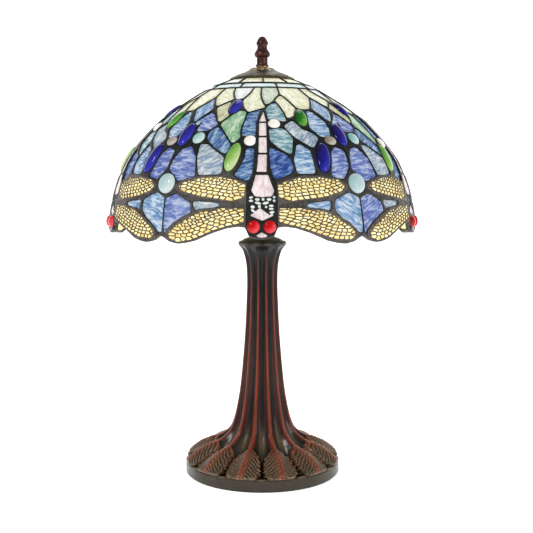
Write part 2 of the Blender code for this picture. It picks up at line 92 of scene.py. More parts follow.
def on_dome(degrees, arc, lift):
    """Points in millimetres at an angle, an arc length down the dome and a height above it."""
    degrees, arc, lift = (np.asarray(v, float) for v in (degrees, arc, lift))
    r, z = dome_at(arc)
    r1, z1 = dome_at(arc - 2.0)
    r2, z2 = dome_at(arc + 2.0)
    out, up = z1 - z2, r2 - r1
    size = np.hypot(out, up)
    r, z = r + out / size * lift, z + up / size * lift
    a = np.radians(degrees)
    return np.stack(np.broadcast_arrays(r * np.sin(a), -r * np.cos(a), z), -1)


def per_degree(arc):
    """Millimetres round the dome for each degree."""
    return dome_at(arc)[0] * math.pi / 180.0


# ---------------------------------------------------------------- meshes


def piece(name, points, faces, material, body, slot, replaces=(), smooth=True, flow=None):
    """A mesh object from points in millimetres, riding on a CAD body."""
    mesh = bpy.data.meshes.new(name)
    mesh.from_pydata(np.asarray(points, float) * 0.001, [], faces)
    mesh.update()
    if smooth:
        mesh.polygons.foreach_set("use_smooth", [True] * len(mesh.polygons))
    if flow is not None:
        layer = mesh.attributes.new("flow", "FLOAT_VECTOR", "POINT")
        layer.data.foreach_set("vector", np.asarray(flow, np.float32).ravel())
    obj = bpy.data.objects.new(name, mesh)
    bpy.context.scene.collection.objects.link(obj)
    obj.data.materials.append(material)
    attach(obj, body)
    if replaces:
        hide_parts(*replaces)
    return obj


def crisp(obj, angle=35):
    """Keeps edges sharper than the angle and smooths the rest."""
    split = obj.modifiers.new("crisp", "EDGE_SPLIT")
    split.split_angle = math.radians(angle)
    return obj


def slab(top, bottom, faces):
    """Two matching sheets closed by walls along their borders."""
    faces = np.asarray(faces)
    n = len(top)
    used, renumbered = np.unique(faces, return_inverse=True)
    faces = renumbered.reshape(faces.shape)
    top, bottom, n = top[used], bottom[used], len(used)
    ends = np.concatenate([faces, np.roll(faces, -1, axis=1)], axis=0)
    starts, stops = ends[: len(faces)].ravel(), ends[len(faces):].ravel()
    border = ~np.isin(starts * n + stops, stops * n + starts)
    a, b = starts[border], stops[border]
    walls = np.stack([b, a, a + n, b + n], 1)
    closed = faces.tolist() + (faces[:, ::-1] + n).tolist() + walls.tolist()
    return np.vstack([top, bottom]), closed, used


def lathe(profile, columns, shape=None):
    """Points and faces of a profile of (radius, z) turned round Z. shape(angle, radius, z) may change the radius and z."""
    profile = np.asarray(profile, float)
    closed = np.allclose(profile[0], profile[-1])
    if closed:
        profile = profile[:-1]
    rows = len(profile)
    turn = np.arange(columns) * 2 * math.pi / columns
    r = np.repeat(profile[:, :1], columns, 1)
    z = np.repeat(profile[:, 1:], columns, 1)
    if shape:
        r, z = shape(turn[None, :] + 0 * r, r, z)
    points = np.stack([r * np.sin(turn), -r * np.cos(turn), z], -1).reshape(-1, 3)
    i = np.arange(rows if closed else rows - 1)[:, None] * columns
    j = np.arange(columns)[None, :]
    k = (j + 1) % columns
    i2 = ((i // columns + 1) % rows) * columns
    faces = np.stack([i + j, i + k, i2 + k, i2 + j], -1).reshape(-1, 4).tolist()
    if not closed:
        if profile[0, 0] > 1e-6:
            faces.append(list(range(columns))[::-1])
        if profile[-1, 0] > 1e-6:
            faces.append([(rows - 1) * columns + c for c in range(columns)])
    return points, faces


def turned(name, profile, columns, material, body, slot, replaces=(), centre=(0, 0), shape=None, angle=35):
    points, faces = lathe(profile, columns, shape)
    points = points + np.array([centre[0], centre[1], 0.0])
    obj = piece(name, points, faces, material, body, slot, replaces)
    tidy_mesh(obj)
    return crisp(obj, angle)


def tidy_mesh(obj):
    """Welds the points on the axis and turns every face out."""
    import bmesh

    work = bmesh.new()
    work.from_mesh(obj.data)
    bmesh.ops.remove_doubles(work, verts=work.verts, dist=1e-6)
    bmesh.ops.recalc_face_normals(work, faces=work.faces)
    work.to_mesh(obj.data)
    work.free()
    return obj


# ---------------------------------------------------------------- materials


class Shader:
    """A Principled material and its nodes."""

    def __init__(self, name, **values):
        self.material = bpy.data.materials.new(name)
        self.material.use_nodes = True
        self.tree = self.material.node_tree
        self.tree.nodes.clear()
        self.out = self.tree.nodes.new("ShaderNodeOutputMaterial")
        self.bsdf = self.tree.nodes.new("ShaderNodeBsdfPrincipled")
        self.tree.links.new(self.bsdf.outputs[0], self.out.inputs[0])
        for key, value in values.items():
            self.bsdf.inputs[key.replace("_", " ")].default_value = value

    def set(self, key, source):
        self.tree.links.new(source, self.bsdf.inputs[key])

    def node(self, kind, inputs=None, **props):
        made = self.tree.nodes.new("ShaderNode" + kind)
        for key, value in props.items():
            setattr(made, key, value)
        for key, value in (inputs or {}).items():
            if isinstance(value, bpy.types.NodeSocket):
                self.tree.links.new(value, made.inputs[key])
            else:
                made.inputs[key].default_value = value
        return made

    def place(self):
        return self.node("TexCoord").outputs["Object"]

    def noise(self, vector, scale, detail=3.0, rough=0.55, distort=0.0):
        return self.node(
            "TexNoise",
            {"Vector": vector, "Scale": scale, "Detail": detail, "Roughness": rough, "Distortion": distort},
        ).outputs["Fac"]

    def ramp(self, factor, stops):
        made = self.node("ValToRGB", {"Fac": factor})
        line = made.color_ramp.elements
        while len(line) < len(stops):
            line.new(0.5)
        for element, (at, colour) in zip(line, stops):
            element.position = at
            value = colour if hasattr(colour, "__len__") else (colour,) * 3
            element.color = (*value, 1.0)
        return made.outputs["Color"]

    def mix(self, factor, a, b, kind="MIX"):
        made = self.node("Mix", data_type="RGBA", blend_type=kind)
        for index, value in ((0, factor), (6, a), (7, b)):
            if isinstance(value, bpy.types.NodeSocket):
                self.tree.links.new(value, made.inputs[index])
            elif index:
                made.inputs[index].default_value = (*value, 1.0)
            else:
                made.inputs[index].default_value = value
        return made.outputs[2]

    def bump(self, height, distance, strength=1.0):
        made = self.node("Bump", {"Height": height, "Distance": distance, "Strength": strength})
        self.set("Normal", made.outputs[0])


def art_glass(name, stops, glow=0.55, ripple=0.0007):
    """Streaky rolled glass lit from behind. The flow layer gives it its own direction in each pane."""
    s = Shader(name, Roughness=0.22, Specular_IOR_Level=0.25, Coat_Weight=0.12, Coat_Roughness=0.08)
    flow = s.node("Attribute", attribute_name="flow").outputs["Vector"]
    streak = s.noise(flow, 1.0, 4.0, 0.6, 0.9)
    cloud = s.noise(flow, 0.33, 2.0, 0.5, 0.3)
    fine = s.noise(flow, 1.3, 2.0, 0.5, 0.8)
    both = s.node("Math", {0: streak, 1: cloud}, operation="ADD").outputs[0]
    half = s.node("Math", {0: both, 1: 0.25, 2: -0.475}, operation="MULTIPLY_ADD").outputs[0]
    where = s.node("Math", {0: fine, 1: 1.45, 2: half}, operation="MULTIPLY_ADD").outputs[0]
    colour = s.ramp(where, stops)
    s.set("Base Color", s.mix(0.55, colour, (0.0, 0.0, 0.0)))
    s.set("Emission Color", colour)
    s.bsdf.inputs["Emission Strength"].default_value = glow
    wave = s.noise(flow, 1.7, 3.0, 0.5, 1.6)
    s.bump(wave, ripple, 0.8)
    s.set("Roughness", s.ramp(wave, [(0.3, 0.16), (0.7, 0.34)]))
    return s.material


def cabochon(name, dark, middle, light, glow):
    """A moulded glass jewel, brighter where the light gathers at its lower right."""
    s = Shader(name, Roughness=0.06, Specular_IOR_Level=0.12, Coat_Weight=0.32, Coat_Roughness=0.03)
    flow = s.node("Attribute", attribute_name="flow").outputs["Vector"]
    parts = s.node("SeparateXYZ", {0: flow})
    slope = s.node("Math", {0: parts.outputs[0], 1: 0.42, 2: 0.5}, operation="MULTIPLY_ADD").outputs[0]
    haze = s.noise(flow, 1.6, 3.0, 0.6, 0.8)
    haze = s.node("Math", {0: haze, 1: 0.5, 2: -0.25}, operation="MULTIPLY_ADD").outputs[0]
    where = s.node("Math", {0: slope, 1: haze}, operation="ADD").outputs[0]
    colour = s.ramp(where, [(0.12, dark), (0.5, middle), (0.92, light)])
    s.set("Base Color", s.mix(0.7, colour, (0.0, 0.0, 0.0)))
    s.set("Emission Color", colour)
    s.bsdf.inputs["Emission Strength"].default_value = glow
    return s.material


def metal(name, dark, light, rough=(0.3, 0.5), metallic=1.0, scale=180.0, depth=0.0001, cover=(0.35, 0.65)):
    s = Shader(name, Metallic=metallic)
    place = s.place()
    grime = s.noise(place, scale, 5.0, 0.65)
    s.set("Base Color", s.ramp(grime, [(cover[0], dark), (cover[1], light)]))
    fine = s.noise(place, scale * 6, 3.0, 0.6)
    s.set("Roughness", s.ramp(grime, [(0.3, rough[1]), (0.7, rough[0])]))
    s.bump(fine, depth, 0.6)
    return s.material


def lead(name, low, high, bright=None):
    """Solder with a dark patina, lighter along the crest of each bead and, where bright is given, lighter still low on
    the shade.
    """
    s = Shader(name, Metallic=0.35, Specular_IOR_Level=0.18)
    flow = s.node("Attribute", attribute_name="flow").outputs["Vector"]
    crest = s.node("SeparateXYZ", {0: flow}).outputs[2]
    grime = s.noise(s.place(), 260.0, 5.0, 0.7)
    crest_tone = s.node("Math", {0: crest, 1: grime}, operation="MULTIPLY").outputs[0]
    colour = s.ramp(crest_tone, [(0.2, low), (0.62, high)])
    if bright:
        z = s.node("SeparateXYZ", {0: s.place()}).outputs[2]
        level = s.node("MapRange", {0: z, 1: 0.275, 2: 0.325, 3: 1.0, 4: 0.0}).outputs[0]
        colour = s.mix(level, colour, s.ramp(crest_tone, [(0.15, low), (0.55, bright)]))
    s.set("Base Color", colour)
    s.set("Roughness", s.ramp(grime, [(0.3, 0.5), (0.7, 0.32)]))
    s.bump(s.noise(s.place(), 700.0, 4.0, 0.6), 0.00025, 0.7)
    return s.material


def patina(name, base, tan, red):
    """Cast metal under a glossy dark patina. flow.x is how much red shows on a ridge and flow.z how much tan on what
    stands proud. flow.y is a painted highlight: gold-brown glints put into the colour on the crown's rim and between
    the leaf tips.
    """
    s = Shader(name, Metallic=0.25, Specular_IOR_Level=0.2, Coat_Weight=0.3, Coat_Roughness=0.14)
    flow = s.node("Attribute", attribute_name="flow").outputs["Vector"]
    parts = s.node("SeparateXYZ", {0: flow})
    ridge, painted_glint, proud = parts.outputs[0], parts.outputs[1], parts.outputs[2]
    stretch = s.node("VectorMath", {0: s.place(), 1: (1.0, 1.0, 0.16)}, operation="MULTIPLY").outputs[0]
    long = s.noise(stretch, 230.0, 5.0, 0.65)
    cloud = s.noise(s.place(), 60.0, 3.0, 0.6)
    colour = s.mix(s.ramp(cloud, [(0.35, 0.0), (0.7, 1.0)]), base, (0.010, 0.014, 0.014))
    streak = s.node("Math", {0: long, 1: 1.5, 2: 0.15}, operation="MULTIPLY_ADD").outputs[0]
    reddened = s.node("Math", {0: ridge, 1: streak}, operation="MULTIPLY", use_clamp=True).outputs[0]
    colour = s.mix(reddened, colour, red)
    speck = s.noise(s.place(), 650.0, 4.0, 0.7)
    dusted = s.node("Math", {0: speck, 1: 1.9, 2: -0.25}, operation="MULTIPLY_ADD", use_clamp=True).outputs[0]
    dusted = s.node("Math", {0: dusted, 1: proud}, operation="MULTIPLY", use_clamp=True).outputs[0]
    colour = s.mix(dusted, colour, tan)
    # Painted highlight: where flow.y says, a gold-brown glint colour is mixed in.
    s.set("Base Color", s.mix(painted_glint, colour, (0.22, 0.15, 0.085)))
    s.set("Roughness", s.ramp(cloud, [(0.3, 0.46), (0.7, 0.3)]))
    s.bump(s.noise(s.place(), 420.0, 5.0, 0.65), 0.00018, 0.5)
    return s.material


def brass_with_vent_glow(name, dark, light, gold):
    """Dark brass with painted lamplight where flow.x says: round the vents a gold colour and a glow stand for the light
    shining out of them.
    """
    s = Shader(name, Metallic=0.6, Specular_IOR_Level=0.3)
    vent_glow = s.node("SeparateXYZ", {0: s.node("Attribute", attribute_name="flow").outputs["Vector"]}).outputs[0]
    grime = s.noise(s.place(), 140.0, 5.0, 0.65)
    speck = s.noise(s.place(), 900.0, 3.0, 0.6)
    patchy = s.node("Math", {0: speck, 1: 1.6, 2: 0.1}, operation="MULTIPLY_ADD").outputs[0]
    # Painted light: the vent mask, broken up by specks, sets where the gold colour and the glow go.
    amount = s.node("Math", {0: vent_glow, 1: patchy}, operation="MULTIPLY", use_clamp=True).outputs[0]
    colour = s.mix(amount, s.ramp(grime, [(0.35, dark), (0.68, light)]), gold)
    s.set("Base Color", colour)
    s.set("Emission Color", s.mix(amount, (0.0, 0.0, 0.0), gold))
    s.bsdf.inputs["Emission Strength"].default_value = 0.45
    s.set("Roughness", s.ramp(grime, [(0.3, 0.5), (0.7, 0.28)]))
    s.bump(speck, 0.0002, 0.6)
    return s.material


def plain(name, dark, light, rough, scale, depth, **values):
    s = Shader(name, **values)
    grain = s.noise(s.place(), scale, 5.0, 0.65)
    s.set("Base Color", s.ramp(grain, [(0.35, dark), (0.65, light)]))
    s.set("Roughness", s.ramp(grain, [(0.3, rough[0]), (0.7, rough[1])]))
    s.bump(grain, depth, 0.8)
    return s.material


GLASS = {
    "cream": art_glass("glass_cream", [(0.3, (0.66, 0.66, 0.40)), (0.5, (0.84, 0.84, 0.60)), (0.7, (0.96, 0.95, 0.80))], 0.62),
    "white": art_glass("glass_white", [(0.3, (0.72, 0.78, 0.74)), (0.5, (0.86, 0.90, 0.86)), (0.7, (0.97, 0.97, 0.93))], 0.62),
    "aqua": art_glass("glass_aqua", [(0.3, (0.60, 0.82, 0.84)), (0.5, (0.76, 0.92, 0.93)), (0.7, (0.95, 0.97, 0.97))], 0.62),
    "moss": art_glass("glass_moss", [(0.3, (0.46, 0.56, 0.42)), (0.5, (0.60, 0.68, 0.54)), (0.7, (0.80, 0.83, 0.72))], 0.62),
    "khaki": art_glass("glass_khaki", [(0.3, (0.46, 0.48, 0.28)), (0.5, (0.60, 0.62, 0.38)), (0.7, (0.76, 0.76, 0.55))], 0.62),
    "green": art_glass("glass_green", [(0.3, (0.16, 0.38, 0.20)), (0.48, (0.34, 0.56, 0.34)), (0.7, (0.62, 0.78, 0.58))], 0.58),
    "blue": art_glass("glass_blue", [(0.33, (0.035, 0.09, 0.27)), (0.48, (0.10, 0.21, 0.42)), (0.68, (0.36, 0.50, 0.66))], 0.62),
    "peri": art_glass("glass_periwinkle", [(0.33, (0.10, 0.14, 0.42)), (0.48, (0.20, 0.27, 0.56)), (0.68, (0.48, 0.55, 0.74))], 0.62),
    "sky": art_glass("glass_sky", [(0.33, (0.12, 0.25, 0.48)), (0.48, (0.26, 0.41, 0.62)), (0.68, (0.62, 0.72, 0.82))], 0.62),
    "teal": art_glass("glass_teal", [(0.33, (0.10, 0.26, 0.33)), (0.48, (0.26, 0.43, 0.47)), (0.68, (0.60, 0.72, 0.72))], 0.62),
    "mist": art_glass("glass_mist", [(0.33, (0.22, 0.32, 0.47)), (0.5, (0.42, 0.51, 0.58)), (0.74, (0.80, 0.83, 0.82))], 0.56),
    "deep": art_glass("glass_deep_blue", [(0.33, (0.015, 0.045, 0.22)), (0.48, (0.045, 0.11, 0.36)), (0.7, (0.22, 0.34, 0.60))], 0.62),
    "pink": art_glass("glass_pink", [(0.3, (0.72, 0.58, 0.60)), (0.5, (0.84, 0.72, 0.73)), (0.7, (0.95, 0.86, 0.85))], 0.66, 0.0003),
    "amber": art_glass("glass_amber", [(0.3, (0.78, 0.56, 0.17)), (0.5, (0.97, 0.78, 0.32)), (0.7, (1.0, 0.90, 0.52))], 0.95, 0.0004),
}
JEWEL = {
    "cobalt": cabochon("jewel_cobalt", (0.004, 0.003, 0.05), (0.012, 0.008, 0.27), (0.05, 0.06, 0.62), 0.5),
    "emerald": cabochon("jewel_emerald", (0.002, 0.05, 0.002), (0.01, 0.20, 0.01), (0.22, 0.66, 0.08), 0.55),
    "lime": cabochon("jewel_lime", (0.10, 0.32, 0.04), (0.30, 0.58, 0.12), (0.80, 0.92, 0.50), 0.6),
    # The clear jewel's warm white colour and glow are painted light: the bulb shining through colourless glass.
    "clear": cabochon("jewel_clear", (0.80, 0.72, 0.60), (0.97, 0.93, 0.86), (1.0, 0.99, 0.96), 0.75),
    "smoke": cabochon("jewel_smoke", (0.20, 0.15, 0.11), (0.46, 0.40, 0.32), (0.85, 0.80, 0.70), 0.5),
    "cyan": cabochon("jewel_cyan", (0.16, 0.45, 0.45), (0.46, 0.72, 0.70), (0.82, 0.94, 0.92), 0.6),
    "sky": cabochon("jewel_sky", (0.38, 0.58, 0.60), (0.56, 0.74, 0.76), (0.84, 0.93, 0.93), 0.6),
    "ruby": cabochon("jewel_ruby", (0.34, 0.0, 0.002), (0.66, 0.001, 0.003), (0.95, 0.10, 0.12), 0.7),
}
LEAD = lead("solder_dark", (0.003, 0.005, 0.004), (0.022, 0.026, 0.020), (0.105, 0.098, 0.088))
FILIGREE = lead("filigree_grey", (0.022, 0.015, 0.012), (0.17, 0.145, 0.125))
HEAD = lead("filigree_black", (0.005, 0.006, 0.005), (0.030, 0.034, 0.032))
BRONZE = patina("bronze_patina", (0.005, 0.006, 0.006), (0.42, 0.27, 0.14), (0.30, 0.045, 0.014))
RUSSET = metal("russet_patina", (0.020, 0.009, 0.008), (0.17, 0.050, 0.038), (0.2, 0.42), 0.5, 150.0, 0.0002, (0.38, 0.72))
CAP = brass_with_vent_glow("cap_antique_brass", (0.016, 0.013, 0.008), (0.13, 0.10, 0.05), (0.86, 0.66, 0.40))
BRASS = metal("brass_satin", (0.42, 0.27, 0.09), (0.72, 0.52, 0.22), (0.22, 0.4), 1.0, 120.0, 0.00006)
STEEL = metal("steel_zinc", (0.30, 0.30, 0.31), (0.60, 0.60, 0.61), (0.25, 0.45), 1.0, 260.0, 0.00006)
PHENOLIC = plain("phenolic", (0.018, 0.016, 0.015), (0.040, 0.036, 0.033), (0.42, 0.3), 600.0, 0.00008)
FIBRE = plain("paper_fibre", (0.34, 0.25, 0.14), (0.56, 0.43, 0.26), (0.8, 0.65), 500.0, 0.0002)
RUBBER = plain("rubber", (0.012, 0.012, 0.012), (0.030, 0.030, 0.030), (0.7, 0.55), 700.0, 0.0001)
FELT = plain("felt_green", (0.008, 0.028, 0.014), (0.03, 0.075, 0.042), (0.95, 0.9), 1500.0, 0.0004, Sheen_Weight=0.6, Sheen_Roughness=0.5)


def clear_glass():
    s = Shader("bulb_envelope", Roughness=0.12, IOR=1.45, Transmission_Weight=0.55)
    s.bsdf.inputs["Emission Color"].default_value = (1.0, 0.66, 0.30, 1.0)
    s.bsdf.inputs["Emission Strength"].default_value = 0.5
    frost = s.noise(s.place(), 500.0, 3.0)
    s.set("Base Color", s.ramp(frost, [(0.3, (0.86, 0.80, 0.68)), (0.7, (0.97, 0.92, 0.80))]))
    s.set("Roughness", s.ramp(frost, [(0.3, 0.10), (0.7, 0.22)]))
    s.bump(frost, 0.00004, 0.5)
    return s.material


BULB = clear_glass()

# ---------------------------------------------------------------- the glass pattern
# Every outline is in (degrees from the sector's middle, millimetres down the dome).

PANES = [
    ("cream", 20, [(-35.5, 33), (-25.9, 33), (-23.6, 43), (-20.2, 54), (-27.3, 66.4), (-33, 54), (-35.2, 48)]),
    ("white", 80, [(-24.4, 33), (-7.9, 33), (-9.9, 45), (-12.9, 54.4), (-17.3, 54.4), (-22.1, 44)]),
    ("cream", 70, [(-6.3, 33), (-1.2, 33), (-1.5, 48), (-0.3, 61), (1, 69.2), (-3, 73.4), (-6.7, 77), (-9.3, 68), (-11.8, 55.5), (-8.7, 45)]),
    ("moss", 60, [(0.4, 33), (13.4, 33), (12.4, 43), (10.2, 49.5), (6, 58.6), (2.9, 64.6), (1.2, 57), (0.1, 46)]),
    ("cream", 110, [(13.9, 49.2), (10.3, 54.3), (9.5, 59), (11.4, 70), (13.3, 85.5), (16.2, 81), (19.3, 70.5), (17.0, 59.6)]),
    ("cream", 60, [(15.2, 33), (35.2, 33), (35.7, 51), (31.6, 61.6), (27.3, 70.8), (20.9, 70.8), (18.0, 57.6), (15.0, 46.6)]),
    ("sky", 100, [(36.3, 53.6), (31.3, 71), (36.7, 89.4), (41.4, 71.5)]),
    ("khaki", 115, [(-26.6, 68.6), (-20.7, 61), (-20.3, 72), (-18.2, 82), (-20.9, 89.8), (-23.6, 79.4)]),
    ("green", 105, [(-12.4, 76.4), (-9.0, 78), (-8.9, 84), (-10.3, 100), (-9.9, 110.6), (-12, 116.6), (-14.6, 108), (-19.1, 93.6), (-15, 82.6)]),
    ("blue", 8, [(-6.8, 79.8), (-3, 76.3), (-0.4, 75), (-1.8, 90), (-2.3, 108), (-8.1, 108), (-8.1, 98), (-7.1, 85)]),
    ("peri", 15, [(-28.3, 76.2), (-22.2, 94.8), (-24.9, 100.8), (-30, 101.8), (-31.5, 88)]),
    ("blue", 118, [(-21, 99.4), (-18.9, 102.6), (-13.3, 118.6), (-14.2, 128), (-18.3, 122), (-22.9, 112), (-23.5, 106)]),
    ("mist", 130, [(14.9, 91.4), (11.2, 97.2), (12.1, 103), (15.5, 111.6), (20.8, 121.2), (24.0, 111.6), (22.5, 107), (17.8, 101.4)]),
    ("teal", 5, [(2.9, 72.6), (6.2, 64.9), (8.5, 63.4), (10.1, 70.4), (11.5, 80.4), (11.1, 90), (9, 88.4), (4.1, 87.6), (3.6, 80)]),
    ("sky", 12, [(26.2, 75.8), (28.1, 77.6), (32.0, 91.2), (32.0, 99.6), (30.7, 107.8), (26.7, 108.6), (23.5, 98.8), (24.4, 90)]),
    ("teal", 170, [(3.9, 102.6), (8.8, 101.2), (10.7, 103.8), (12.5, 112.2), (11.1, 128.4), (7.3, 122), (4.2, 114.6)]),
    ("sky", 5, [(14.7, 120.8), (15.9, 120.8), (18.6, 126.4), (19.1, 147.4), (13.4, 147.4), (12.7, 136)]),
    ("deep", 160, [(3.6, 124.4), (8.8, 131.1), (10.6, 137.3), (10.9, 146.5), (5.0, 153.3), (3.4, 138)]),
    ("blue", 172, [(-5.5, 124.3), (-2.6, 125.3), (-2.7, 145.5), (-4.6, 154.5), (-9.1, 149.9), (-7.1, 142.6), (-5.7, 134)]),
    ("peri", 170, [(31, 122.9), (34.1, 126.6), (33.6, 142.6), (30.5, 152.4), (26.5, 150.4), (28.9, 128.6)]),
    ("peri", 175, [(-30, 122), (-26.5, 133.3), (-25.3, 150.8), (-30.9, 154.4), (-36, 143.6), (-35.1, 133.4), (-33.3, 125.2)]),
    ("mist", 168, [(-25.2, 119.8), (-22.5, 120.4), (-19.3, 126.3), (-15, 133.4), (-15, 148.1), (-22.8, 148.8), (-24.6, 133)]),
    ("sky", 20, [(26.4, 173.7), (32, 167.7), (35.7, 171.9), (35.7, 200.9), (34.3, 199.1), (29.4, 189.6), (26.1, 181)]),
    ("peri", 165, [(-34.9, 172.5), (-31, 168.8), (-25.5, 176.2), (-25, 183.8), (-29.2, 192.5), (-34.3, 201.9)]),
    ("mist", 0, [(-23.4, 175.1), (-14.5, 176.4), (-22.4, 181.9)]),
    ("sky", 0, [(15.5, 177.4), (23.6, 174.6), (23.1, 180.9)]),
    ("sky", 30, [(37.6, 92.2), (42.6, 79.0), (44.0, 76.6), (41.0, 88.0), (40.4, 94.6)]),
]
BAND = [("aqua", 0, [(-20.2 + 36 * k, 23.2), (14.2 + 36 * k, 23.2), (14.4 + 36 * k, 30.8), (-20.4 + 36 * k, 30.8)]) for k in (0, 1)]
PANES += BAND
# kind, middle, half-axes across and along, tilt, height
JEWELS = [
    ("cobalt", -15.5, 68.4, 5.2, 11.2, 5, 3.0),
    ("emerald", 20.2, 85.5, 5.4, 11.6, 5, 3.0),
    ("clear", 5.8, 94.4, 5.1, 5.3, 0, 2.6),
    ("clear", -4.7, 115.2, 5.2, 5.5, 0, 2.6),
    ("cobalt", 36.6, 106.5, 6.4, 13.6, 2, 3.4),
    ("cyan", -27.9, 111.4, 5.7, 6.2, 0, 2.6),
    ("smoke", 30.1, 114.5, 5.7, 4.7, 0, 2.4),
    ("lime", -11, 132.6, 5.6, 14.2, 13, 3.2),
    ("cobalt", 24, 133, 6.4, 15.0, 10, 3.4),
]
SKY = (36.0, 158.0, 8.7, 9.2, 0, 5.2)
EYES = [(-2.65, 195.6, 5.5), (2.65, 195.6, 5.5)]
WINGS = [
    [(5.6, 160), (8.5, 156.4), (13.5, 153.2), (20, 152.7), (28, 155.1), (30.3, 160.5), (28.6, 165), (22, 169.8), (10, 173.3), (5.9, 169.8)],
    [(-5.6, 159), (-8.5, 155.6), (-15, 152.2), (-22, 153.6), (-28, 157), (-30.3, 161), (-28, 165.2), (-21, 169.2), (-10, 173.3), (-5.9, 169.8)],
    [(6.0, 179.8), (14, 180.2), (21, 182.8), (25.2, 187.6), (29.5, 194.4), (32.4, 200.2), (32.6, 205), (30.8, 207.3), (25, 206.4), (18, 200.5), (12, 195.6), (5.8, 191.2)],
    [(-6.0, 179.8), (-14, 180.2), (-21, 184), (-25.2, 189.2), (-30, 196.4), (-32.6, 201.6), (-32.2, 206.4), (-29, 208.8), (-24, 207.2), (-18, 201.4), (-12, 195.8), (-5.8, 191.2)],
]
OUTLINE = [
    (1.3, 76.5), (2.6, 92), (2.7, 110), (2.9, 129), (3.2, 147), (4.2, 153.5), (5.4, 157.0),
    (9, 154.0), (14, 150.4), (21, 150.6), (28, 153.2), (31.8, 158.6), (31.8, 162.8), (28.6, 168.4),
    (20, 172.2), (9, 175.6), (5.9, 177), (5.9, 178.6), (9, 178.2), (15, 178.8), (22, 180.8),
    (26.8, 186.4), (30.9, 192.8), (34.0, 199.6), (34.2, 206.2), (31.6, 209.6), (24.6, 208.7),
    (16.6, 201.6), (10.5, 196.7), (5.2, 196.0), (4.7, 203), (2.4, 205.2), (0, 206.2),
]
OUTLINE = OUTLINE + [(-a, s) for a, s in OUTLINE[-2::-1]]
BODY = [
    [(-1.0, 92.3), (0.8, 79), (1.9, 92.3)],
    [(-1.0, 94.8), (1.9, 94.8), (1.9, 110), (-1.0, 110)],
    [(-1.0, 112.6), (1.9, 112.6), (1.9, 128.8), (-1.0, 128.8)],
    [(-1.1, 131.4), (1.8, 131.4), (1.7, 147.4), (-1.6, 147.4)],
    [(-1.9, 150.8), (2.2, 150.8), (4.1, 164.5), (3.4, 169), (0.2, 169.8), (-2.2, 169), (-3.3, 164.5)],
    [(-0.5, 179.8), (-3.5, 186.0), (0.2, 190.0), (3.0, 186.8)],
    [(0.1, 200.6), (1.8, 203.1), (0.2, 205.6), (-1.5, 203.2)],
]
HEAD_PLATE = [(-4.6, 169.6), (4.9, 169.6), (4.6, 187.6), (-4.2, 187.6)]
# middle, half-axes across and along, tilt
SLITS = [
    (-1.4, 172.0, 1.8, 1.0, 0), (0.5, 172.0, 1.0, 1.0, 0), (2.5, 172.0, 1.8, 1.0, 0),
    (-3.5, 170.3, 1.5, 0.8, -20), (-3.5, 173.3, 1.6, 0.8, 0), (4.2, 170.0, 0.8, 1.0, 0), (4.2, 173.3, 0.8, 0.9, 0),
    (-1.2, 175.2, 2.6, 0.9, 14), (1.4, 175.2, 2.6, 0.9, -14),
    (-2.9, 178.6, 1.5, 1.1, 0), (-0.7, 178.2, 1.1, 1.1, 0), (1.5, 178.6, 0.8, 0.8, 0),
    (3.2, 177.6, 1.8, 0.75, 0), (3.2, 180.2, 1.8, 0.8, 0), (3.4, 183.2, 1.9, 0.8, -10), (3.2, 185.8, 1.5, 0.7, -25),
    (-2.8, 181.8, 1.8, 0.8, 35),
]


def rounded(outline, radius=1.4, grow=0.0):
    """The outline with corners of about this radius, grown outwards, both in millimetres."""
    k = float(per_degree(sum(p[1] for p in outline) / len(outline)))
    flat = np.array([(x * k, y) for x, y in outline], float)
    after = np.roll(flat, -1, axis=0) - flat
    area = (flat[:, 0] * np.roll(flat[:, 1], -1) - flat[:, 1] * np.roll(flat[:, 0], -1)).sum()
    normal = np.stack([after[:, 1], -after[:, 0]], -1) * np.sign(area)
    normal /= np.linalg.norm(normal, axis=1)[:, None]
    mean = normal + np.roll(normal, 1, axis=0)
    mean /= np.maximum((mean * normal).sum(1), 0.5)[:, None]
    flat = flat + mean * grow
    out = []
    for before, here, next_one in zip(np.roll(flat, 1, axis=0), flat, np.roll(flat, -1, axis=0)):
        back, ahead = before - here, next_one - here
        cut_back = min(radius, 0.42 * np.linalg.norm(back)) / np.linalg.norm(back)
        cut_ahead = min(radius, 0.42 * np.linalg.norm(ahead)) / np.linalg.norm(ahead)
        start, end = here + back * cut_back, here + ahead * cut_ahead
        for t in (0.0, 0.5, 1.0):
            out.append((1 - t) ** 2 * start + 2 * t * (1 - t) * here + t * t * end)
    return [(x / k, y) for x, y in out]


def oval(middle, arc, across, along, tilt, steps=24, grow=0.0):
    """An oval on the dome. A positive tilt leans its top to the right."""
    k, lean = per_degree(arc), math.radians(tilt)
    out = []
    for turn in np.arange(steps) * 2 * math.pi / steps:
        x, y = (across + grow) * math.cos(turn), (along + grow) * math.sin(turn)
        out.append((middle + (x * math.cos(lean) - y * math.sin(lean)) / k, arc + x * math.sin(lean) + y * math.cos(lean)))
    return out


def distance_in(a, s, k, outline):
    """How far inside the outline each point is, in millimetres, and negative outside."""
    nearest, inside = np.full(a.shape, 1e9), np.zeros(a.shape, bool)
    for (a1, s1), (a2, s2) in zip(outline, outline[1:] + outline[:1]):
        px, py, ex, ey = (a - a1) * k, s - s1, (a2 - a1) * k, s2 - s1
        t = np.clip((px * ex + py * ey) / (ex * ex + ey * ey + 1e-9), 0, 1)
        nearest = np.minimum(nearest, (px - t * ex) ** 2 + (py - t * ey) ** 2)
        crosses = (s1 > s) != (s2 > s)
        inside ^= crosses & (a < a1 + (s - s1) / (s2 - s1 + 1e-12) * (a2 - a1))
    return np.where(inside, 1.0, -1.0) * np.sqrt(nearest)


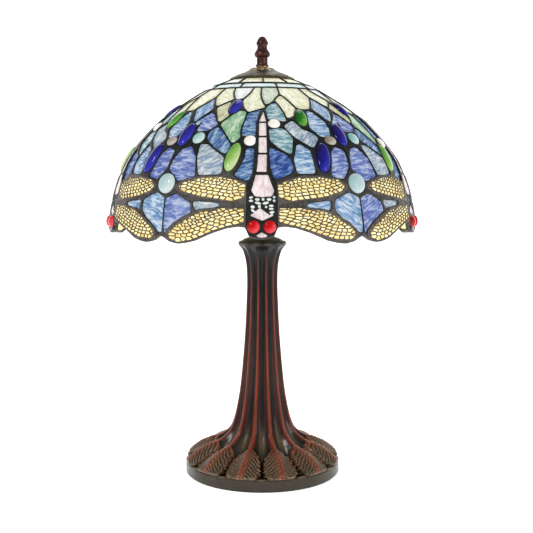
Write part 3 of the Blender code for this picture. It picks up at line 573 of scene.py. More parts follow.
def grown_panes(extra):
    """Every pane's outline, run out towards its neighbours so that an even lead is left between them."""
    cut = [rounded(outline, 1.2) for _, _, outline in PANES]
    row = [[(-60, 4.0), (60, 4.0), (60, 19.6), (-60, 19.6)]]
    shifted = [[(x + shift, y) for x, y in each] for shift in (-SECTOR, 0.0, SECTOR) for each in cut]
    out = []
    for number, outline in enumerate(cut):
        k = float(per_degree(sum(p[1] for p in outline) / len(outline)))
        line = []
        for (a1, s1), (a2, s2) in zip(outline, outline[1:] + outline[:1]):
            parts = max(1, int(math.hypot((a2 - a1) * k, s2 - s1) / 1.6))
            line += [(a1 + (a2 - a1) * i / parts, s1 + (s2 - s1) * i / parts) for i in range(parts)]
        line = np.array(line) * (k, 1.0)
        along = np.roll(line, -1, axis=0) - np.roll(line, 1, axis=0)
        area = (line[:, 0] * np.roll(line[:, 1], -1) - line[:, 1] * np.roll(line[:, 0], -1)).sum()
        normal = np.stack([along[:, 1], -along[:, 0]], -1) * np.sign(area)
        normal /= np.maximum(np.linalg.norm(normal, axis=1), 1e-6)[:, None]
        a, s = line[:, 0] / k, line[:, 1]
        size = np.full(a.shape, k)
        gap = np.full(a.shape, 9.0)
        for other, each in enumerate(shifted + row):
            if other != number + len(cut):
                gap = np.minimum(gap, -distance_in(a, s, size, each))
        grow = gap / 2 - np.interp(s, [33.0, 60.0, 90.0], [1.0, 0.95, 0.75])
        for outline_two in [OUTLINE, [(x + SECTOR, y) for x, y in OUTLINE], [(x - SECTOR, y) for x, y in OUTLINE]]:
            grow = np.minimum(grow, -distance_in(a, s, size, outline_two) + 0.4)
        grow = np.clip(grow, -0.3, 1.5)
        grow = (np.roll(grow, 1) + 2 * grow + np.roll(grow, -1)) / 4 + extra
        line = line + normal * grow[:, None]
        out.append([(x / k, y) for x, y in line])
    return out


def raise_field(field, a, s, outline, margin=5.0, keep=np.maximum):
    """Folds one outline's distances into the field where it is near."""
    k = per_degree(s)
    arcs = [p[1] for p in outline]
    angles = [p[0] for p in outline]
    pad = margin / max(float(per_degree(min(arcs))), 0.3)
    near = (s > min(arcs) - margin) & (s < max(arcs) + margin)
    near &= (a > min(angles) - pad) & (a < max(angles) + pad)
    if near.any():
        field[near] = keep(field[near], distance_in(a[near], s[near], k[near], outline))


def copies(outline):
    return [[(a + shift, s) for a, s in outline] for shift in (-SECTOR, 0.0, SECTOR)]


def bead(depth, width, height):
    """The height of a solder bead: depth is how far inside the metal a point is."""
    t = depth / width
    return np.where(t > 0, height * np.sin(np.clip(t, 0, 1) * math.pi / 2), height * math.pi / 2 * t)


def grid_faces(rows, columns, keep):
    """Quads of a grid whose point mask is true at any corner."""
    i = np.arange((rows - 1) * columns).reshape(rows - 1, columns)[:, :-1]
    quads = np.stack([i, i + columns, i + columns + 1, i + 1], -1).reshape(-1, 4)
    return quads[keep.ravel()[quads].any(1)]


RIM_ANGLES = np.array([-a for a, _ in RIM[:0:-1]] + [a for a, _ in RIM])
RIM_ARCS = np.array([s for _, s in RIM[:0:-1]] + [s for _, s in RIM])
GLASS_TOP, GLASS_BOTTOM = -0.05, -2.6
BEAD_HEIGHT, BEAD_WIDTH = 0.95, 1.0


def lead_sheet(name, a, s, field, rim, sector, replaces=()):
    """A closed network of solder beads, proud of the glass inside and out."""
    depth = -field
    height = bead(depth, BEAD_WIDTH, BEAD_HEIGHT)
    if rim is not None:
        edge = np.clip((rim - s) / 2.6, 0, 1)
        height = np.maximum(height, np.where(edge < 1, 1.25 * np.sqrt(np.maximum(1 - (2 * edge - 1) ** 2, 0)) + 0.1, -9))
    keep = height > -0.7
    faces = grid_faces(*a.shape, keep)
    height = np.maximum(height, -1.0).ravel()
    middle = sector * SECTOR
    flat_a, flat_s = a.ravel() + middle, s.ravel()
    top = on_dome(flat_a, flat_s, height)
    bottom = on_dome(flat_a, flat_s, GLASS_BOTTOM - 0.75 * height)
    points, closed, used = slab(top, bottom, faces)
    crest = np.clip(height[used] / BEAD_HEIGHT, 0, 1)
    flow = np.zeros((2 * len(used), 3))
    flow[:, 2] = np.tile(crest, 2)
    return piece(name, points, closed, LEAD, "shade", "art_glass", replaces, flow=flow)


def solder():
    angles = np.linspace(-36, 36, 211)
    rim = np.interp(angles, RIM_ANGLES, RIM_ARCS)
    share = np.linspace(0, 1, 216)
    a, v = np.meshgrid(angles, share)
    rim = np.broadcast_to(rim, a.shape)
    s = 21.0 + v * (rim - 21.0)
    field = np.full(a.shape, -6.0)
    for outline in grown_panes(0.0):
        for each in copies(outline):
            raise_field(field, a, s, each)
    round_jewels = JEWELS + [("sky",) + SKY]
    for _, middle, arc, across, along, tilt, _ in round_jewels:
        for shift in (-SECTOR, 0.0, SECTOR):
            ring = oval(middle + shift, arc, across, along, tilt, grow=1.15)
            cut = np.full(a.shape, -9.0)
            raise_field(cut, a, s, ring, 3.0)
            field = np.minimum(field, -cut)
    for _, middle, arc, across, along, tilt, _ in round_jewels:
        for shift in (-SECTOR, 0.0, SECTOR):
            raise_field(field, a, s, oval(middle + shift, arc, across, along, tilt), 3.0)
    for outline in WINGS + BODY + [HEAD_PLATE]:
        raise_field(field, a, s, rounded(outline, 1.0))
    for index in range(SECTORS):
        lead_sheet(f"solder_work_{index + 1}", a, s, field, rim, index, (f"shade_panel_{index + 1}",))
    angles = np.linspace(-180, 180, 721)
    a, s = np.meshgrid(angles, np.linspace(4.6, 21.9, 26))
    field = np.full(a.shape, -6.0)
    for outline in crown_row():
        for shift in (-360.0, 0.0, 360.0):
            raise_field(field, a, s, [(x + shift, y) for x, y in outline])
    lead_sheet("solder_crown", a, s, field, None, 0)


def crown_row():
    return [
        [(2.6 + 30 * k, 4.0), (30.4 + 30 * k, 4.0), (30.6 + 30 * k, 19.6), (2.4 + 30 * k, 19.6)]
        for k in range(-6, 6)
    ]


# ---------------------------------------------------------------- panes


def tile(outline, middle, top, bottom, spacing, angle, seed, sag=0.0):
    """One pane as a closed plate that follows the dome. Returns points, faces and the flow of its streaks."""
    draw = random.Random(seed)
    outline = [Vector(p) for p in outline]
    arcs = [p.y for p in outline]
    lines = [p.x for p in outline]
    mean = sum(arcs) / len(arcs)
    k = float(per_degree(mean))
    inside = []
    for arc in np.arange(min(arcs) + spacing / 2, max(arcs), spacing):
        for degrees in np.arange(min(lines) + spacing / 2 / k, max(lines), spacing / k):
            x, y = np.array([degrees]), np.array([arc])
            if distance_in(x, y, np.array([k]), [tuple(p) for p in outline])[0] > spacing * 0.3:
                inside.append(Vector((degrees, arc)))
    count = len(outline)
    points, _, faces, *_ = geometry.delaunay_2d_cdt(
        outline + inside, [(i, (i + 1) % count) for i in range(count)], [], 1, 1e-4
    )
    flat = np.array([(p.x, p.y) for p in points])
    faces = np.array([f if len(f) == 3 else f[:3] for f in faces])
    sheets = [on_dome(flat[:, 0] + middle, flat[:, 1], height) for height in (top, bottom)]
    # The outline runs clockwise or not, so faces are turned to look out.
    corner = sheets[0][faces]
    normal = np.cross(corner[:, 1] - corner[:, 0], corner[:, 2] - corner[:, 0]).sum(0)
    centre = sheets[0].mean(0) - np.array([0, 0, 240.0])
    if np.dot(normal, centre) < 0:
        faces = faces[:, ::-1]
    closed_points, closed, used = slab(sheets[0], sheets[1], faces)
    lean = math.radians(angle + draw.uniform(-12, 12))
    x, y = (flat[used, 0] - flat[:, 0].mean()) * k, flat[used, 1] - mean
    along, across = x * math.cos(lean) + y * math.sin(lean), -x * math.sin(lean) + y * math.cos(lean)
    offset = draw.uniform(0, 90)
    flow = np.stack([along / 11.0 + offset, across / 3.1 + offset * 0.37, np.full(len(used), offset * 1.7)], -1)
    return closed_points, closed, np.vstack([flow, flow + 0.4])


class Heap:
    """Gathers closed bodies of one finish into one piece."""

    def __init__(self):
        self.points, self.faces, self.flow, self.count = [], [], [], 0

    def add(self, points, faces, flow):
        self.points.append(points)
        self.flow.append(flow)
        self.faces += [[i + self.count for i in face] for face in faces]
        self.count += len(points)

    def make(self, name, material, body, slot, replaces=()):
        return piece(name, np.vstack(self.points), self.faces, material, body, slot, replaces, flow=np.vstack(self.flow))


PANEL_NAMES = tuple(f"shade_panel_{k + 1}" for k in range(SECTORS))


def glass():
    heaps = {kind: Heap() for kind in GLASS}
    outlines = grown_panes(0.5)
    for index in range(SECTORS):
        middle = index * SECTOR
        for number, (kind, angle, _) in enumerate(PANES):
            heaps[kind].add(*tile(outlines[number], middle, GLASS_TOP, GLASS_BOTTOM, 6.0, angle, 100 * index + number))
        for number, outline in enumerate(BODY):
            heaps["pink"].add(*tile(rounded(outline, 0.8, 0.5), middle, 1.15, GLASS_BOTTOM, 6.0, 90, 500 + 20 * index + number))
        heaps["white"].add(*tile(rounded(HEAD_PLATE, 1.0, 0.5), middle, 0.95, GLASS_BOTTOM, 6.0, 0, 700 + index))
        for number, outline in enumerate(WINGS):
            heaps["amber"].add(*tile(rounded(outline, 1.0, 0.6), middle, 1.1, GLASS_BOTTOM, 6.0, 0, 800 + 10 * index + number))
    kinds = ["cream", "cream", "white", "cream", "white", "cream"]
    for number, outline in enumerate(crown_row()):
        heaps[kinds[number % 6]].add(*tile(outline, 0.0, GLASS_TOP, GLASS_BOTTOM, 5.0, 90, 900 + number))
    names = {"peri": "periwinkle", "deep": "deep_blue"}
    for kind, heap in heaps.items():
        slot = "wing_overlay" if kind in ("pink", "amber") else "art_glass"
        heap.make(f"panes_{names.get(kind, kind)}", GLASS[kind], "shade", slot, PANEL_NAMES)


# ---------------------------------------------------------------- jewels


def dome_of_glass(middle, arc, across, along, tilt, height, base, rings=9, sides=40):
    """A domed jewel. Its flow is its own left to right, bottom to top and height, each from -1 to 1."""
    k, lean = float(per_degree(arc)), math.radians(tilt)
    centre = on_dome(middle, arc, base)
    right = on_dome(middle + 0.5, arc, base) - on_dome(middle - 0.5, arc, base)
    right /= np.linalg.norm(right)
    down = on_dome(middle, arc + 0.5, base) - on_dome(middle, arc - 0.5, base)
    down /= np.linalg.norm(down)
    out = np.cross(down, right)
    profile = [(1.0, -1.6), (1.0, 0.0)]
    for step in range(1, rings + 1):
        turn = step / rings * math.pi / 2
        profile.append((math.cos(turn) ** 0.85 if step < rings else 0.0, math.sin(turn)))
    points, flow = [centre - out * 1.6], [(0, 0, -1)]
    for share, rise in profile[:-1]:
        for turn in np.arange(sides) * 2 * math.pi / sides:
            x, y = share * math.cos(turn), share * math.sin(turn)
            dx, dy = across * x, along * y
            dx, dy = dx * math.cos(lean) - dy * math.sin(lean), dx * math.sin(lean) + dy * math.cos(lean)
            lift = rise if rise < 0 else rise * height
            points.append(centre + right * dx + down * dy + out * lift)
            flow.append((0.75 * x + 0.5 * y, y, rise))
    points.append(centre + out * height)
    flow.append((0, 0, 1))
    faces = [[0, 1 + (i + 1) % sides, 1 + i] for i in range(sides)]
    for ring in range(len(profile) - 2):
        at = 1 + ring * sides
        faces += [[at + i, at + (i + 1) % sides, at + sides + (i + 1) % sides, at + sides + i] for i in range(sides)]
    at, top = 1 + (len(profile) - 2) * sides, len(points) - 1
    faces += [[at + i, at + (i + 1) % sides, top] for i in range(sides)]
    return np.array(points), faces, np.array(flow, float)


def jewels():
    heaps = {}
    for index in range(SECTORS):
        middle = index * SECTOR
        for kind, angle, arc, across, along, tilt, height in JEWELS:
            heap = heaps.setdefault(kind, Heap())
            heap.add(*dome_of_glass(middle + angle, arc, across + 0.35, along + 0.35, tilt, height, -0.1))
        angle, arc, across, along, tilt, height = SKY
        sky = dome_of_glass(middle + angle, arc, across, along, tilt, height - 0.9, 0.3)
        obj = piece(f"sky_cabochon_{index + 1}", *sky[:2], JEWEL["sky"], "shade", "sky_jewel", (f"sky_jewel_{index + 1}",), flow=sky[2])
        tidy_mesh(obj)
        for (angle, arc, radius), word in zip(EYES, ("left", "right")):
            eye = dome_of_glass(middle + angle, arc, radius, radius, 0, 3.4, 1.6)
            obj = piece(f"ruby_{index + 1}_{word}", *eye[:2], JEWEL["ruby"], "shade", "ruby_jewel", (f"eye_{index + 1}_{word}",), flow=eye[2])
            tidy_mesh(obj)
    for kind, heap in heaps.items():
        tidy_mesh(heap.make(f"cabochons_{kind}", JEWEL[kind], "shade", "art_glass"))


# ---------------------------------------------------------------- dragonflies


def pebble_field(a, s, outline, seed):
    """The distance to the nearest wall between pebbles. They lie in rows along the wing's lower edge and at random above."""
    draw = random.Random(seed)
    k = 2.55
    lows = [p for p in outline]
    right = sum(p[0] for p in outline) > 0
    angles = np.array([abs(p[0]) for p in lows])
    near, far = angles.min(), angles.max()
    # The lower edge of the wing: the largest arc at each angle.
    across = np.linspace(near, far, 40)
    lower, upper = [], []
    ring = [(abs(x), y) for x, y in outline]
    for x in across:
        hits = []
        for (x1, y1), (x2, y2) in zip(ring, ring[1:] + ring[:1]):
            if (x1 - x) * (x2 - x) <= 0 and x1 != x2:
                hits.append(y1 + (x - x1) / (x2 - x1) * (y2 - y1))
        lower.append(max(hits) if hits else ring[0][1])
        upper.append(min(hits) if hits else ring[0][1])
    lower, upper = np.array(lower), np.array(upper)
    seeds = []
    row, pitch = 0, 2.95
    while row * pitch < 22:
        at = near * k + draw.uniform(-2, 1)
        height = row * pitch + pitch / 2
        while at < far * k + 3:
            wide = draw.uniform(3.6, 7.4) if row < 4 else draw.uniform(2.8, 4.6)
            x = (at + wide / 2) / k
            jitter = 0.12 if row < 4 else 0.9
            y = float(np.interp(x, across, lower)) - height + draw.uniform(-jitter, jitter)
            if y > float(np.interp(x, across, upper)) - 2:
                seeds.append((x * k, y, max(wide / pitch, 1.0) if row < 5 else 1.0))
            at += wide
        row += 1
    sx = np.array([p[0] for p in seeds])
    sy = np.array([p[1] for p in seeds])
    px, py = np.abs(a) * k, s
    first = np.full(a.shape, 1e9)
    second = np.full(a.shape, 1e9)
    who1 = np.zeros(a.shape, int)
    who2 = np.zeros(a.shape, int)
    for i, (x, y, _) in enumerate(seeds):
        d = (px - x) ** 2 * 0.36 + (py - y) ** 2 * 1.5
        closer = d < first
        second = np.where(closer, first, np.minimum(second, d))
        who2 = np.where(closer, who1, np.where(d == second, i, who2))
        first = np.where(closer, d, first)
        who1 = np.where(closer, i, who1)
    gx, gy = np.abs(sx[who1] - sx[who2]), np.abs(sy[who1] - sy[who2])
    # The border's slope in plain millimetres, not in the stretched measure.
    gap = np.sqrt((gx * 0.36) ** 2 + (gy * 1.5) ** 2)
    return (second - first) / (2 * np.maximum(gap, 0.8))


def dragonflies():
    a, s = np.meshgrid(np.linspace(-35, 35, 341), np.linspace(73, 210.6, 264))
    shape = a.shape
    rim = np.interp(a, RIM_ANGLES, RIM_ARCS)
    outside = np.full(shape, -9.0)
    raise_field(outside, a, s, rounded(OUTLINE, 1.0), 3.0)
    holes = np.full(shape, -9.0)
    for outline in BODY:
        raise_field(holes, a, s, rounded(outline, 0.8, 0.2), 3.0)
    for slit in SLITS:
        raise_field(holes, a, s, oval(*slit[:2], slit[2], slit[3], slit[4], 12, 0.2), 2.0)
    for number, outline in enumerate(WINGS):
        wing = np.full(shape, -9.0)
        raise_field(wing, a, s, rounded(outline, 1.5), 2.0)
        near = wing > -0.5
        pebbles = np.full(shape, -9.0)
        pebbles[near] = pebble_field(a[near], s[near], outline, 40 + number) - 0.66
        holes = np.maximum(holes, np.minimum(wing, pebbles))
    height = np.minimum(bead(outside, 0.9, 1.6), bead(-holes, 0.42, 1.6) + 0.8)
    height = np.maximum(height, -0.6)
    keep = (outside > -0.5) & (height > -0.55)
    inside_rim = s < rim + 0.2
    faces = grid_faces(*shape, keep & inside_rim)
    s = np.minimum(s, rim)
    flat_a, flat_s, flat_h = a.ravel(), s.ravel(), height.ravel()
    head = (np.abs(a) < 5.2) & (s > 151)
    body = (np.abs(a) < 3.4) & (s <= 151)
    dark = (head | body).ravel()
    for index in range(SECTORS):
        top = on_dome(flat_a + index * SECTOR, flat_s, flat_h)
        bottom = on_dome(flat_a + index * SECTOR, flat_s, np.minimum(flat_h - 0.35, -0.1))
        points, closed, used = slab(top, bottom, faces)
        crest = np.clip(flat_h[used] / 1.6, 0, 1)
        flow = np.zeros((2 * len(used), 3))
        flow[:, 2] = np.tile(crest, 2)
        obj = piece(f"dragonfly_filigree_{index + 1}", points, closed, FILIGREE, "shade", "wing_overlay", (f"dragonfly_{index + 1}",), flow=flow)
        obj.data.materials.append(HEAD)
        corner = np.tile(dark[used], 2)
        obj.data.polygons.foreach_set("material_index", [int(corner[face[0]]) for face in closed])


# ---------------------------------------------------------------- the casting

OUTSIDE = [
    (23.2, 235.1, 23.2, 235.1), (24.2, 234.0, 24.3, 234.0), (23.6, 231.8, 24.2, 231.8), (21.0, 229.2, 22.2, 229.2),
    (18.3, 226, 20, 226), (16.2, 221.5, 18.5, 221.5), (14.3, 216, 17.2, 216), (12.9, 207, 16.1, 207),
    (12.6, 192, 15.8, 192), (13.3, 172, 16.5, 172), (14.2, 150, 17.5, 150), (15.6, 128, 19.1, 128),
    (17.3, 106, 21.1, 106), (19.6, 84, 23.6, 84), (22.5, 66, 26.8, 66), (25.6, 52.5, 30, 53),
    (30, 41.5, 34.5, 43), (36, 33, 42.8, 36), (43, 26.8, 52.8, 31.2), (52, 21, 63.5, 25.4),
    (61, 16.4, 71.5, 19.2), (69.5, 13.6, 75.4, 14.9), (77.2, 12.4, 77.2, 12.4), (77.9, 11.4, 77.9, 11.4),
    (77.9, 6.5, 77.9, 6.5), (77.9, 1.8, 77.9, 1.8),
]
INSIDE = [
    (74, 1.8), (73.4, 10.2), (46, 19.5), (33, 28), (5.4, 28), (5.4, 32), (22, 32), (13, 95),
    (9.4, 150), (9.2, 208), (15, 232.6), (21.9, 232.6), (22.5, 234.6),
]
LEAVES = 12


def casting():
    table = np.array(OUTSIDE)
    trunk, foot = catmull(table, 4)[: 15 * 4], catmull(table, 13)[15 * 13 :]
    curve = np.vstack([trunk, foot])
    index = np.concatenate([np.arange(len(trunk)) / 4, 15 + np.arange(len(foot)) / 13])[:, None]
    rows, columns = len(curve), 528
    turn = np.arange(columns) * 2 * math.pi / columns
    degrees = np.degrees(turn)
    phase = np.radians(LEAVES * (degrees - 15.0))
    share = (0.5 + 0.5 * np.cos(phase)) ** 1.3
    r = curve[:, :1] + (curve[:, 2:3] - curve[:, :1]) * share
    z = curve[:, 1:2] + (curve[:, 3:4] - curve[:, 1:2]) * share
    # Leaves: t runs from where they leave the trunk's ridges to the edge of the plinth.
    t = np.clip((index - 17.3) / (22.75 - 17.3), -3.0, 1.2)
    local = ((degrees[None, :] - 15.0 + 15.0) % 30.0) - 15.0
    leaf = np.floor(degrees[None, :] / 30.0)
    twist = np.sin(leaf * 2.4 + 0.7) * 1.6
    local = local + twist * np.clip(t, 0, 1) ** 2 * (1 - (local / 15.0) ** 2)
    across = np.abs(local) * math.pi / 180 * r
    along = np.cumsum(np.hypot(np.gradient(r, axis=0), np.gradient(z, axis=0)), axis=0)
    spread = np.sin(np.clip(t / 0.34, 0, 1) * math.pi / 2)
    shape = np.clip(1 - (np.clip(t - 0.45, 0, 1) / 0.55) ** 2.6, 0, 1) ** 0.62
    width = (2.6 + 12.4 * spread) * shape
    lobes = 1.0 - 0.20 * np.abs(((along / 6.2 + 0.23 * leaf) % 1.0) - 0.35) - 0.06 * np.sin(along * 1.9 + leaf)
    width = np.maximum(width * lobes, 0.01)
    on_leaf = (t > 0) & (t < 1.0)
    edge = (width - np.abs(local)) * math.pi / 180 * r
    lift = np.clip(edge / 0.9, 0, 1)
    lift = lift * lift * (3 - 2 * lift)
    midrib = np.exp(-((across / 1.3) ** 2)) * np.clip((1.0 - t) * 6, 0, 1)
    side = np.sign(local)
    wander = 0.45 * np.sin(across * 0.9 + leaf * 1.7 + side) + 0.35 * np.sin(along * 0.55 + across * 0.4 + leaf * 4.1)
    rank = (along - across * 1.25 + wander + side * 0.8) / 4.0
    main = 0.5 + 0.5 * np.cos(2 * math.pi * rank)
    small = 0.5 + 0.5 * np.cos(2 * math.pi * (rank * 2.0 + 0.9 * np.sin(across * 0.7)))
    vein = np.clip(0.75 * main**2.0 + 0.45 * small**2.5, 0, 1.1)
    vein = vein * np.clip(across / 0.9, 0, 1) * np.clip(edge / 0.5, 0, 1)
    curl = np.exp(-(((edge - 0.9) / 0.8) ** 2))
    top = 1.0 + 2.4 * np.clip(t - 0.2, 0, 1)
    hump = 1.1 * np.exp(-((across / 5.5) ** 2)) * np.clip(t * 3, 0, 1)
    body = (top + hump + 0.5 * midrib + 1.0 * vein + 0.5 * curl) * lift - 1.0
    ease = np.clip(t * 7, 0, 1) * np.clip((1.04 - t) * 12, 0, 1)
    relief = np.where(on_leaf, body, -1.0) * ease
    # A smooth bract shows between each two leaf tips.
    between = (np.abs(np.abs(local) - 15.0) * math.pi / 180 * r) / 8.5
    bract = np.clip(1 - between**2, 0, 1) * np.clip((t - 0.66) * 5, 0, 1) * np.clip((1.04 - t) * 12, 0, 1)
    relief = np.maximum(relief, 1.5 * bract - 1.0)
    slope_r = np.gradient(r, axis=0)
    slope_z = np.gradient(z, axis=0)
    size = np.hypot(slope_r, slope_z) + 1e-9
    # The leaf blades spread level with their ridges and end in a step above the scoops.
    spread_out = (1 - share) * 0.62 * lift * on_leaf * np.clip(t * 4, 0, 1)
    r = r + (curve[:, 2:3] - curve[:, :1]) * spread_out
    z = z + (curve[:, 3:4] - curve[:, 1:2]) * spread_out
    r = r - slope_z / size * relief
    z = z + slope_r / size * relief
    r = np.minimum(r, 77.9)
    # Narrow grooves run beside each ridge of the trunk.
    up = np.clip(-t * 6 + 0.5, 0, 1) * np.clip((226 - z) / 8, 0, 1) * np.clip((z - 40) / 30, 0, 1)
    groove = 0.45 * np.exp(-((np.abs(local) - 6.5) / 1.2) ** 2) + 0.25 * np.exp(-((np.abs(local) - 11.5) / 1.0) ** 2)
    r = r - up * groove
    outer = np.stack([r * np.sin(turn), -r * np.cos(turn), z], -1).reshape(-1, 3)
    inner_line = np.array(INSIDE)
    inner = np.concatenate(
        [np.stack([ri * np.sin(turn), -ri * np.cos(turn), np.full(columns, zi)], -1) for ri, zi in inner_line]
    )
    points = np.vstack([outer, inner])
    total = rows + len(inner_line)
    i = np.arange(total)[:, None] * columns
    j = np.arange(columns)[None, :]
    k = (j + 1) % columns
    i2 = ((np.arange(total) + 1) % total)[:, None] * columns
    faces = np.stack([i + j, i2 + j, i2 + k, i + k], -1).reshape(-1, 4).tolist()
    ridge = np.exp(-((np.abs(local) / 3.6) ** 2)) * np.clip((228 - z) / 50, 0, 1)
    side_ridge = 0.3 * np.exp(-(((np.abs(local) - 8.8) / 1.4) ** 2)) * np.clip((190 - z) / 80, 0, 1)
    red = np.where(t < 0, np.maximum(ridge, side_ridge * (t < -0.3)), lift * (midrib + 0.55 * np.exp(-((across / 3.5) ** 2)) + 0.3 * main * np.clip(1.2 - t, 0, 1) ** 2 + curl * np.clip(1.1 - 1.8 * t, 0, 1)))
    tan = np.where(on_leaf, lift * (0.02 + 1.25 * vein**2.2 + 0.6 * curl) * (1 - 0.75 * midrib), 0.0) * np.clip(t * 5, 0, 1)
    scoop = np.exp(-(((t + 0.12) / 0.22) ** 2)) * np.clip((np.abs(local) - 6) / 6, 0, 1)
    tan = np.maximum(tan, 0.42 * scoop * (lift < 0.3))
    tan = np.maximum(tan, 0.13 * ((t >= 1.0) | (z < 12.5)))
    # Painted highlights: glints on the bracts between the leaf tips and along the flutes of the crown's rim, carried in
    # flow.y.
    glint = bract * (relief > -0.3) * (lift < 0.4) * 0.8
    lip = np.exp(-(((z - 233.2) / 1.3) ** 2)) * (0.5 + 0.5 * np.cos(phase)) * 0.5 * (t < 0)
    flow = np.zeros((len(points), 3))
    count = rows * columns
    flow[:count, 0] = np.clip(red, 0, 1).ravel()
    flow[:count, 1] = np.clip(np.maximum(glint, lip), 0, 1).ravel()
    flow[:count, 2] = np.clip(tan, 0, 1).ravel()
    obj = piece("trunk_and_foot", points, faces, BRONZE, "stand", "bronze", ("base_casting",), flow=flow)
    import bmesh

    work = bmesh.new()
    work.from_mesh(obj.data)
    bmesh.ops.recalc_face_normals(work, faces=work.faces)
    work.to_mesh(obj.data)
    work.free()
    # The inlet for the cord at the back.
    hole, hole_faces = lathe([(0, -10), (3.8, -10), (3.8, 10), (0, 10)], 32)
    hole = np.stack([hole[:, 0], 75.6 + hole[:, 2], 6.0 + hole[:, 1]], -1)
    cut(obj, hole, hole_faces)
    crisp(obj, 55)


def cut(obj, points, faces):
    """Takes a closed shape out of a piece."""
    mesh = bpy.data.meshes.new("cutter")
    mesh.from_pydata(np.asarray(points) * 0.001, [], faces)
    cutter = bpy.data.objects.new("cutter", mesh)
    bpy.context.scene.collection.objects.link(cutter)
    tidy_mesh(cutter)
    boolean = obj.modifiers.new("cut", "BOOLEAN")
    boolean.object, boolean.operation, boolean.solver = cutter, "DIFFERENCE", "EXACT"
    bpy.context.view_layer.update()
    graph = bpy.context.evaluated_depsgraph_get()
    result = bpy.data.meshes.new_from_object(obj.evaluated_get(graph))
    obj.modifiers.remove(boolean)
    obj.data = result
    bpy.data.objects.remove(cutter)


# ---------------------------------------------------------------- shade top and finial

CAP_OUT = [
    (3.6, 406.9), (7.5, 406.7), (10.6, 405.6), (13.4, 404.2), (17.6, 402.4), (22, 400.7), (25.6, 399.3), (28.8, 397.6),
    (31.4, 396.2), (32.6, 395.2), (32.6, 394.4),
]
CAP_IN = [(31.6, 394.8), (21.6, 399.9), (13, 403.4), (7.2, 405.9), (3.6, 406.1)]
FINIAL = [
    (6.7, 408.3), (6.5, 409.4), (5.6, 410.4), (5.5, 415.2), (5.7, 416.6), (7.2, 417.6), (7.9, 419.2), (7.7, 421.0),
    (6.6, 423.0), (5.2, 425.2), (4.9, 427.2), (5.3, 428.8), (6.1, 429.8), (5.8, 431.4), (4.7, 433.9), (2.7, 436.6), (0, 437.7),
]


def shade_top():
    outer = catmull(CAP_OUT, 8)
    ring = 1.0 * np.exp(-(((outer[:, 0] - 11.6) / 1.9) ** 2)) + np.exp(-(((outer[:, 0] - 30.8) / 0.8) ** 2)) * 0.3
    outer[:, 1] += ring
    profile = np.vstack([outer, CAP_IN, outer[:1]])
    points, faces = lathe(profile, 288)
    radius = np.hypot(points[:, 0], points[:, 1])
    angle = np.arctan2(points[:, 0], -points[:, 1])
    # Painted light: spots round each vent, and small ones between them, are marked for a gold colour and a glow that
    # stand for lamplight shining out.
    around = ((np.degrees(angle) + 15.0) % 30.0 - 15.0) * math.pi / 180 * radius
    away = np.hypot((radius - 13.6) * 0.8, around)
    between = np.hypot(radius - 13.0, np.abs(around) - 3.4)
    vent_glow = np.exp(-((away / 1.5) ** 4)) + 0.45 * np.exp(-((between / 0.8) ** 2))
    flow = np.zeros((len(points), 3))
    flow[:, 0] = np.clip(vent_glow, 0, 1) * (points[:, 2] > 399)
    obj = piece("cap_spun", points, faces, CAP, "shade", "antique_brass", ("shade_cap",), flow=flow)
    tidy_mesh(obj)
    for k in range(12):
        turn = math.radians(30 * k)
        vent, vent_faces = lathe([(0, 396), (0.8, 396), (0.8, 412), (0, 412)], 20)
        vent = vent + np.array([13.6 * math.sin(turn), -13.6 * math.cos(turn), 0])
        cut(obj, vent, vent_faces)
    crisp(obj, 40)
    profile = np.vstack([catmull(FINIAL, 8), [(0, 422.5), (4.8, 422.5), (4.8, 408.3), (6.7, 408.3)]])
    turned("finial_turned", profile, 96, RUSSET, "finial", "russet", ("finial",), angle=50)


# ---------------------------------------------------------------- harp and ferrules

HOLDER_Z = 245.4


def tube_along(path, radius, sides):
    """Points and faces of a capped tube along a path in the YZ plane."""
    path = np.asarray(path, float)
    step = np.gradient(path, axis=0)
    step /= np.linalg.norm(step, axis=1)[:, None]
    side = np.array([1.0, 0, 0])
    points = []
    for p, d in zip(path, step):
        other = np.cross(d, side)
        for turn in np.arange(sides) * 2 * math.pi / sides:
            points.append(p + radius * (side * math.cos(turn) + other * math.sin(turn)))
    faces = []
    for i in range(len(path) - 1):
        for j in range(sides):
            k = (j + 1) % sides
            faces.append([i * sides + j, (i + 1) * sides + j, (i + 1) * sides + k, i * sides + k])
    faces.append(list(range(sides)))
    faces.append([(len(path) - 1) * sides + j for j in range(sides)][::-1])
    return np.array(points), faces


def fittings():
    half = [
        (20, 262.9), (20, 283), (22.5, 291), (29, 301), (35, 314), (38, 330), (37, 346), (32, 361), (23, 375),
        (12, 386), (4, 390.4), (0, 391),
    ]
    line = half + [(-y, z) for y, z in half[-2::-1]]
    line = catmull(line, 6)
    path = np.stack([np.zeros(len(line)), line[:, 0], line[:, 1]], -1)
    points, faces = tube_along(path, 1.5, 16)
    crisp(tidy_mesh(piece("harp_wire", points, faces, BRASS, "stand", "brass", ("harp_bow",))), 50)
    for word, y in (("front", -20.0), ("back", 20.0)):
        profile = [
            (2.0, 257.1), (2.9, 257.1), (3.0, 257.6), (3.0, 258.8), (2.7, 259.2), (2.7, 266.6), (2.9, 267.0),
            (2.9, 267.9), (2.5, 268.6), (2.0, 268.6), (2.0, 257.1),
        ]
        turned(f"ferrule_{word}_turned", profile, 40, BRASS, f"ferrule_{word}", "brass", (f"harp_ferrule_{word}",), (0, y))


# ---------------------------------------------------------------- carried-over nodes

BY_SLOT = {
    "bronze": BRONZE, "felt": FELT, "rubber": RUBBER, "steel": STEEL, "brass": BRASS, "antique_brass": CAP,
    "phenolic": PHENOLIC, "fibre": FIBRE, "bulb_glass": BULB, "art_glass": GLASS["blue"],
    "wing_overlay": GLASS["amber"], "ruby_jewel": JEWEL["ruby"], "sky_jewel": JEWEL["sky"], "russet": RUSSET,
}


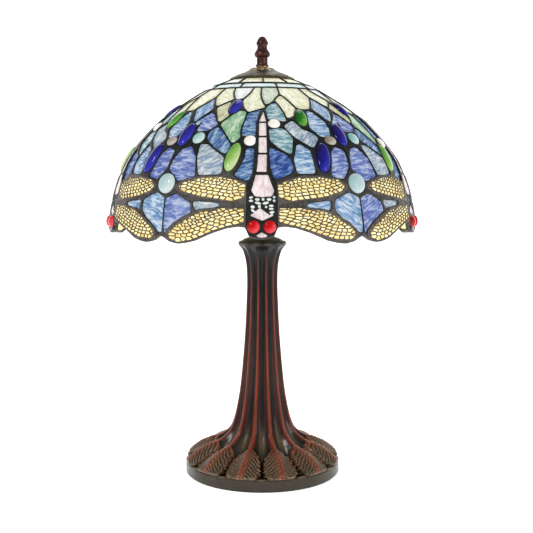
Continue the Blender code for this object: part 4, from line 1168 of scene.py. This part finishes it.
def dress_nodes():
    for part in frame["record"]["subparts"]:
        obj = frame["nodes"][part["node"]]
        if obj.hide_render:
            continue
        finish = BY_SLOT[part["material_slot"]]
        if obj.material_slots:
            for holder in obj.material_slots:
                holder.material = finish
        else:
            obj.data.materials.append(finish)
        obj.data.polygons.foreach_set("use_smooth", [True] * len(obj.data.polygons))
        weld = obj.modifiers.new("weld", "WELD")
        weld.merge_threshold = 1e-6
        crisp(obj, 32)


# ---------------------------------------------------------------- stage


def stage():
    depth, height, radius, width = 2.6, 3.2, 0.9, 5.0
    line = [(-3.0, 0.0), (depth - radius, 0.0)]
    for turn in np.linspace(0, math.pi / 2, 24)[1:]:
        line.append((depth - radius + radius * math.sin(turn), radius - radius * math.cos(turn)))
    line.append((depth, height))
    points = [(x, y, z) for y, z in line for x in (-width, width)]
    faces = [[2 * i, 2 * i + 1, 2 * i + 3, 2 * i + 2] for i in range(len(line) - 1)]
    mesh = bpy.data.meshes.new("studio_floor")
    mesh.from_pydata(points, [], faces)
    mesh.polygons.foreach_set("use_smooth", [True] * len(faces))
    floor = bpy.data.objects.new("studio_floor", mesh)
    bpy.context.scene.collection.objects.link(floor)
    s = Shader("studio_paper", Roughness=0.9, Specular_IOR_Level=0.1)
    tone = s.noise(s.place(), 6.0, 2.0)
    s.set("Base Color", s.ramp(tone, [(0.3, (0.90, 0.90, 0.90)), (0.7, (0.93, 0.93, 0.93))]))
    s.bsdf.inputs["Emission Color"].default_value = (1.0, 1.0, 1.0, 1.0)
    s.bsdf.inputs["Emission Strength"].default_value = 0.75
    mesh.materials.append(s.material)

    world = bpy.data.worlds.new("studio_sky")
    world.use_nodes = True
    world.node_tree.nodes["Background"].inputs[0].default_value = (1.0, 1.0, 1.0, 1.0)
    world.node_tree.nodes["Background"].inputs[1].default_value = 0.34
    bpy.context.scene.world = world

    def panel(name, at, target, size, power, colour=(1, 1, 1)):
        light = bpy.data.lights.new(name, "AREA")
        light.shape, light.size, light.size_y = "RECTANGLE", size[0], size[1]
        light.energy, light.color = power, colour
        obj = bpy.data.objects.new(name, light)
        obj.location = at
        obj.rotation_euler = (Vector(target) - Vector(at)).to_track_quat("-Z", "Y").to_euler()
        bpy.context.scene.collection.objects.link(obj)

    panel("key_light", (-1.1, -1.3, 1.5), (0, 0, 0.28), (0.45, 0.45), 11.0)
    panel("fill_light", (1.5, -1.2, 0.8), (0, 0, 0.25), (0.45, 0.8), 6.0)
    panel("top_light", (0.1, 0.9, 1.9), (0, 0, 0.3), (0.8, 0.8), 4.0)
    glow = bpy.data.lights.new("bulb_glow", "POINT")
    glow.energy, glow.color, glow.shadow_soft_size = 0.5, (1.0, 0.82, 0.58), 0.024
    obj = bpy.data.objects.new("bulb_glow", glow)
    obj.location = (0.0, 0.0, 0.335)
    bpy.context.scene.collection.objects.link(obj)

    lens = bpy.data.cameras.new("camera")
    lens.sensor_width, lens.lens = 36.0, 66.96
    lens.clip_start, lens.clip_end = 0.01, 50.0
    camera = bpy.data.objects.new("camera", lens)
    camera.location = (0.00424, -0.9952, 0.3025)
    camera.rotation_euler = (math.radians(84.65), 0.0, 0.0)
    bpy.context.scene.collection.objects.link(camera)
    bpy.context.scene.camera = camera
    bpy.context.scene.view_settings.view_transform = "Standard"


solder()
glass()
jewels()
dragonflies()
casting()
shade_top()
fittings()
dress_nodes()
stage()
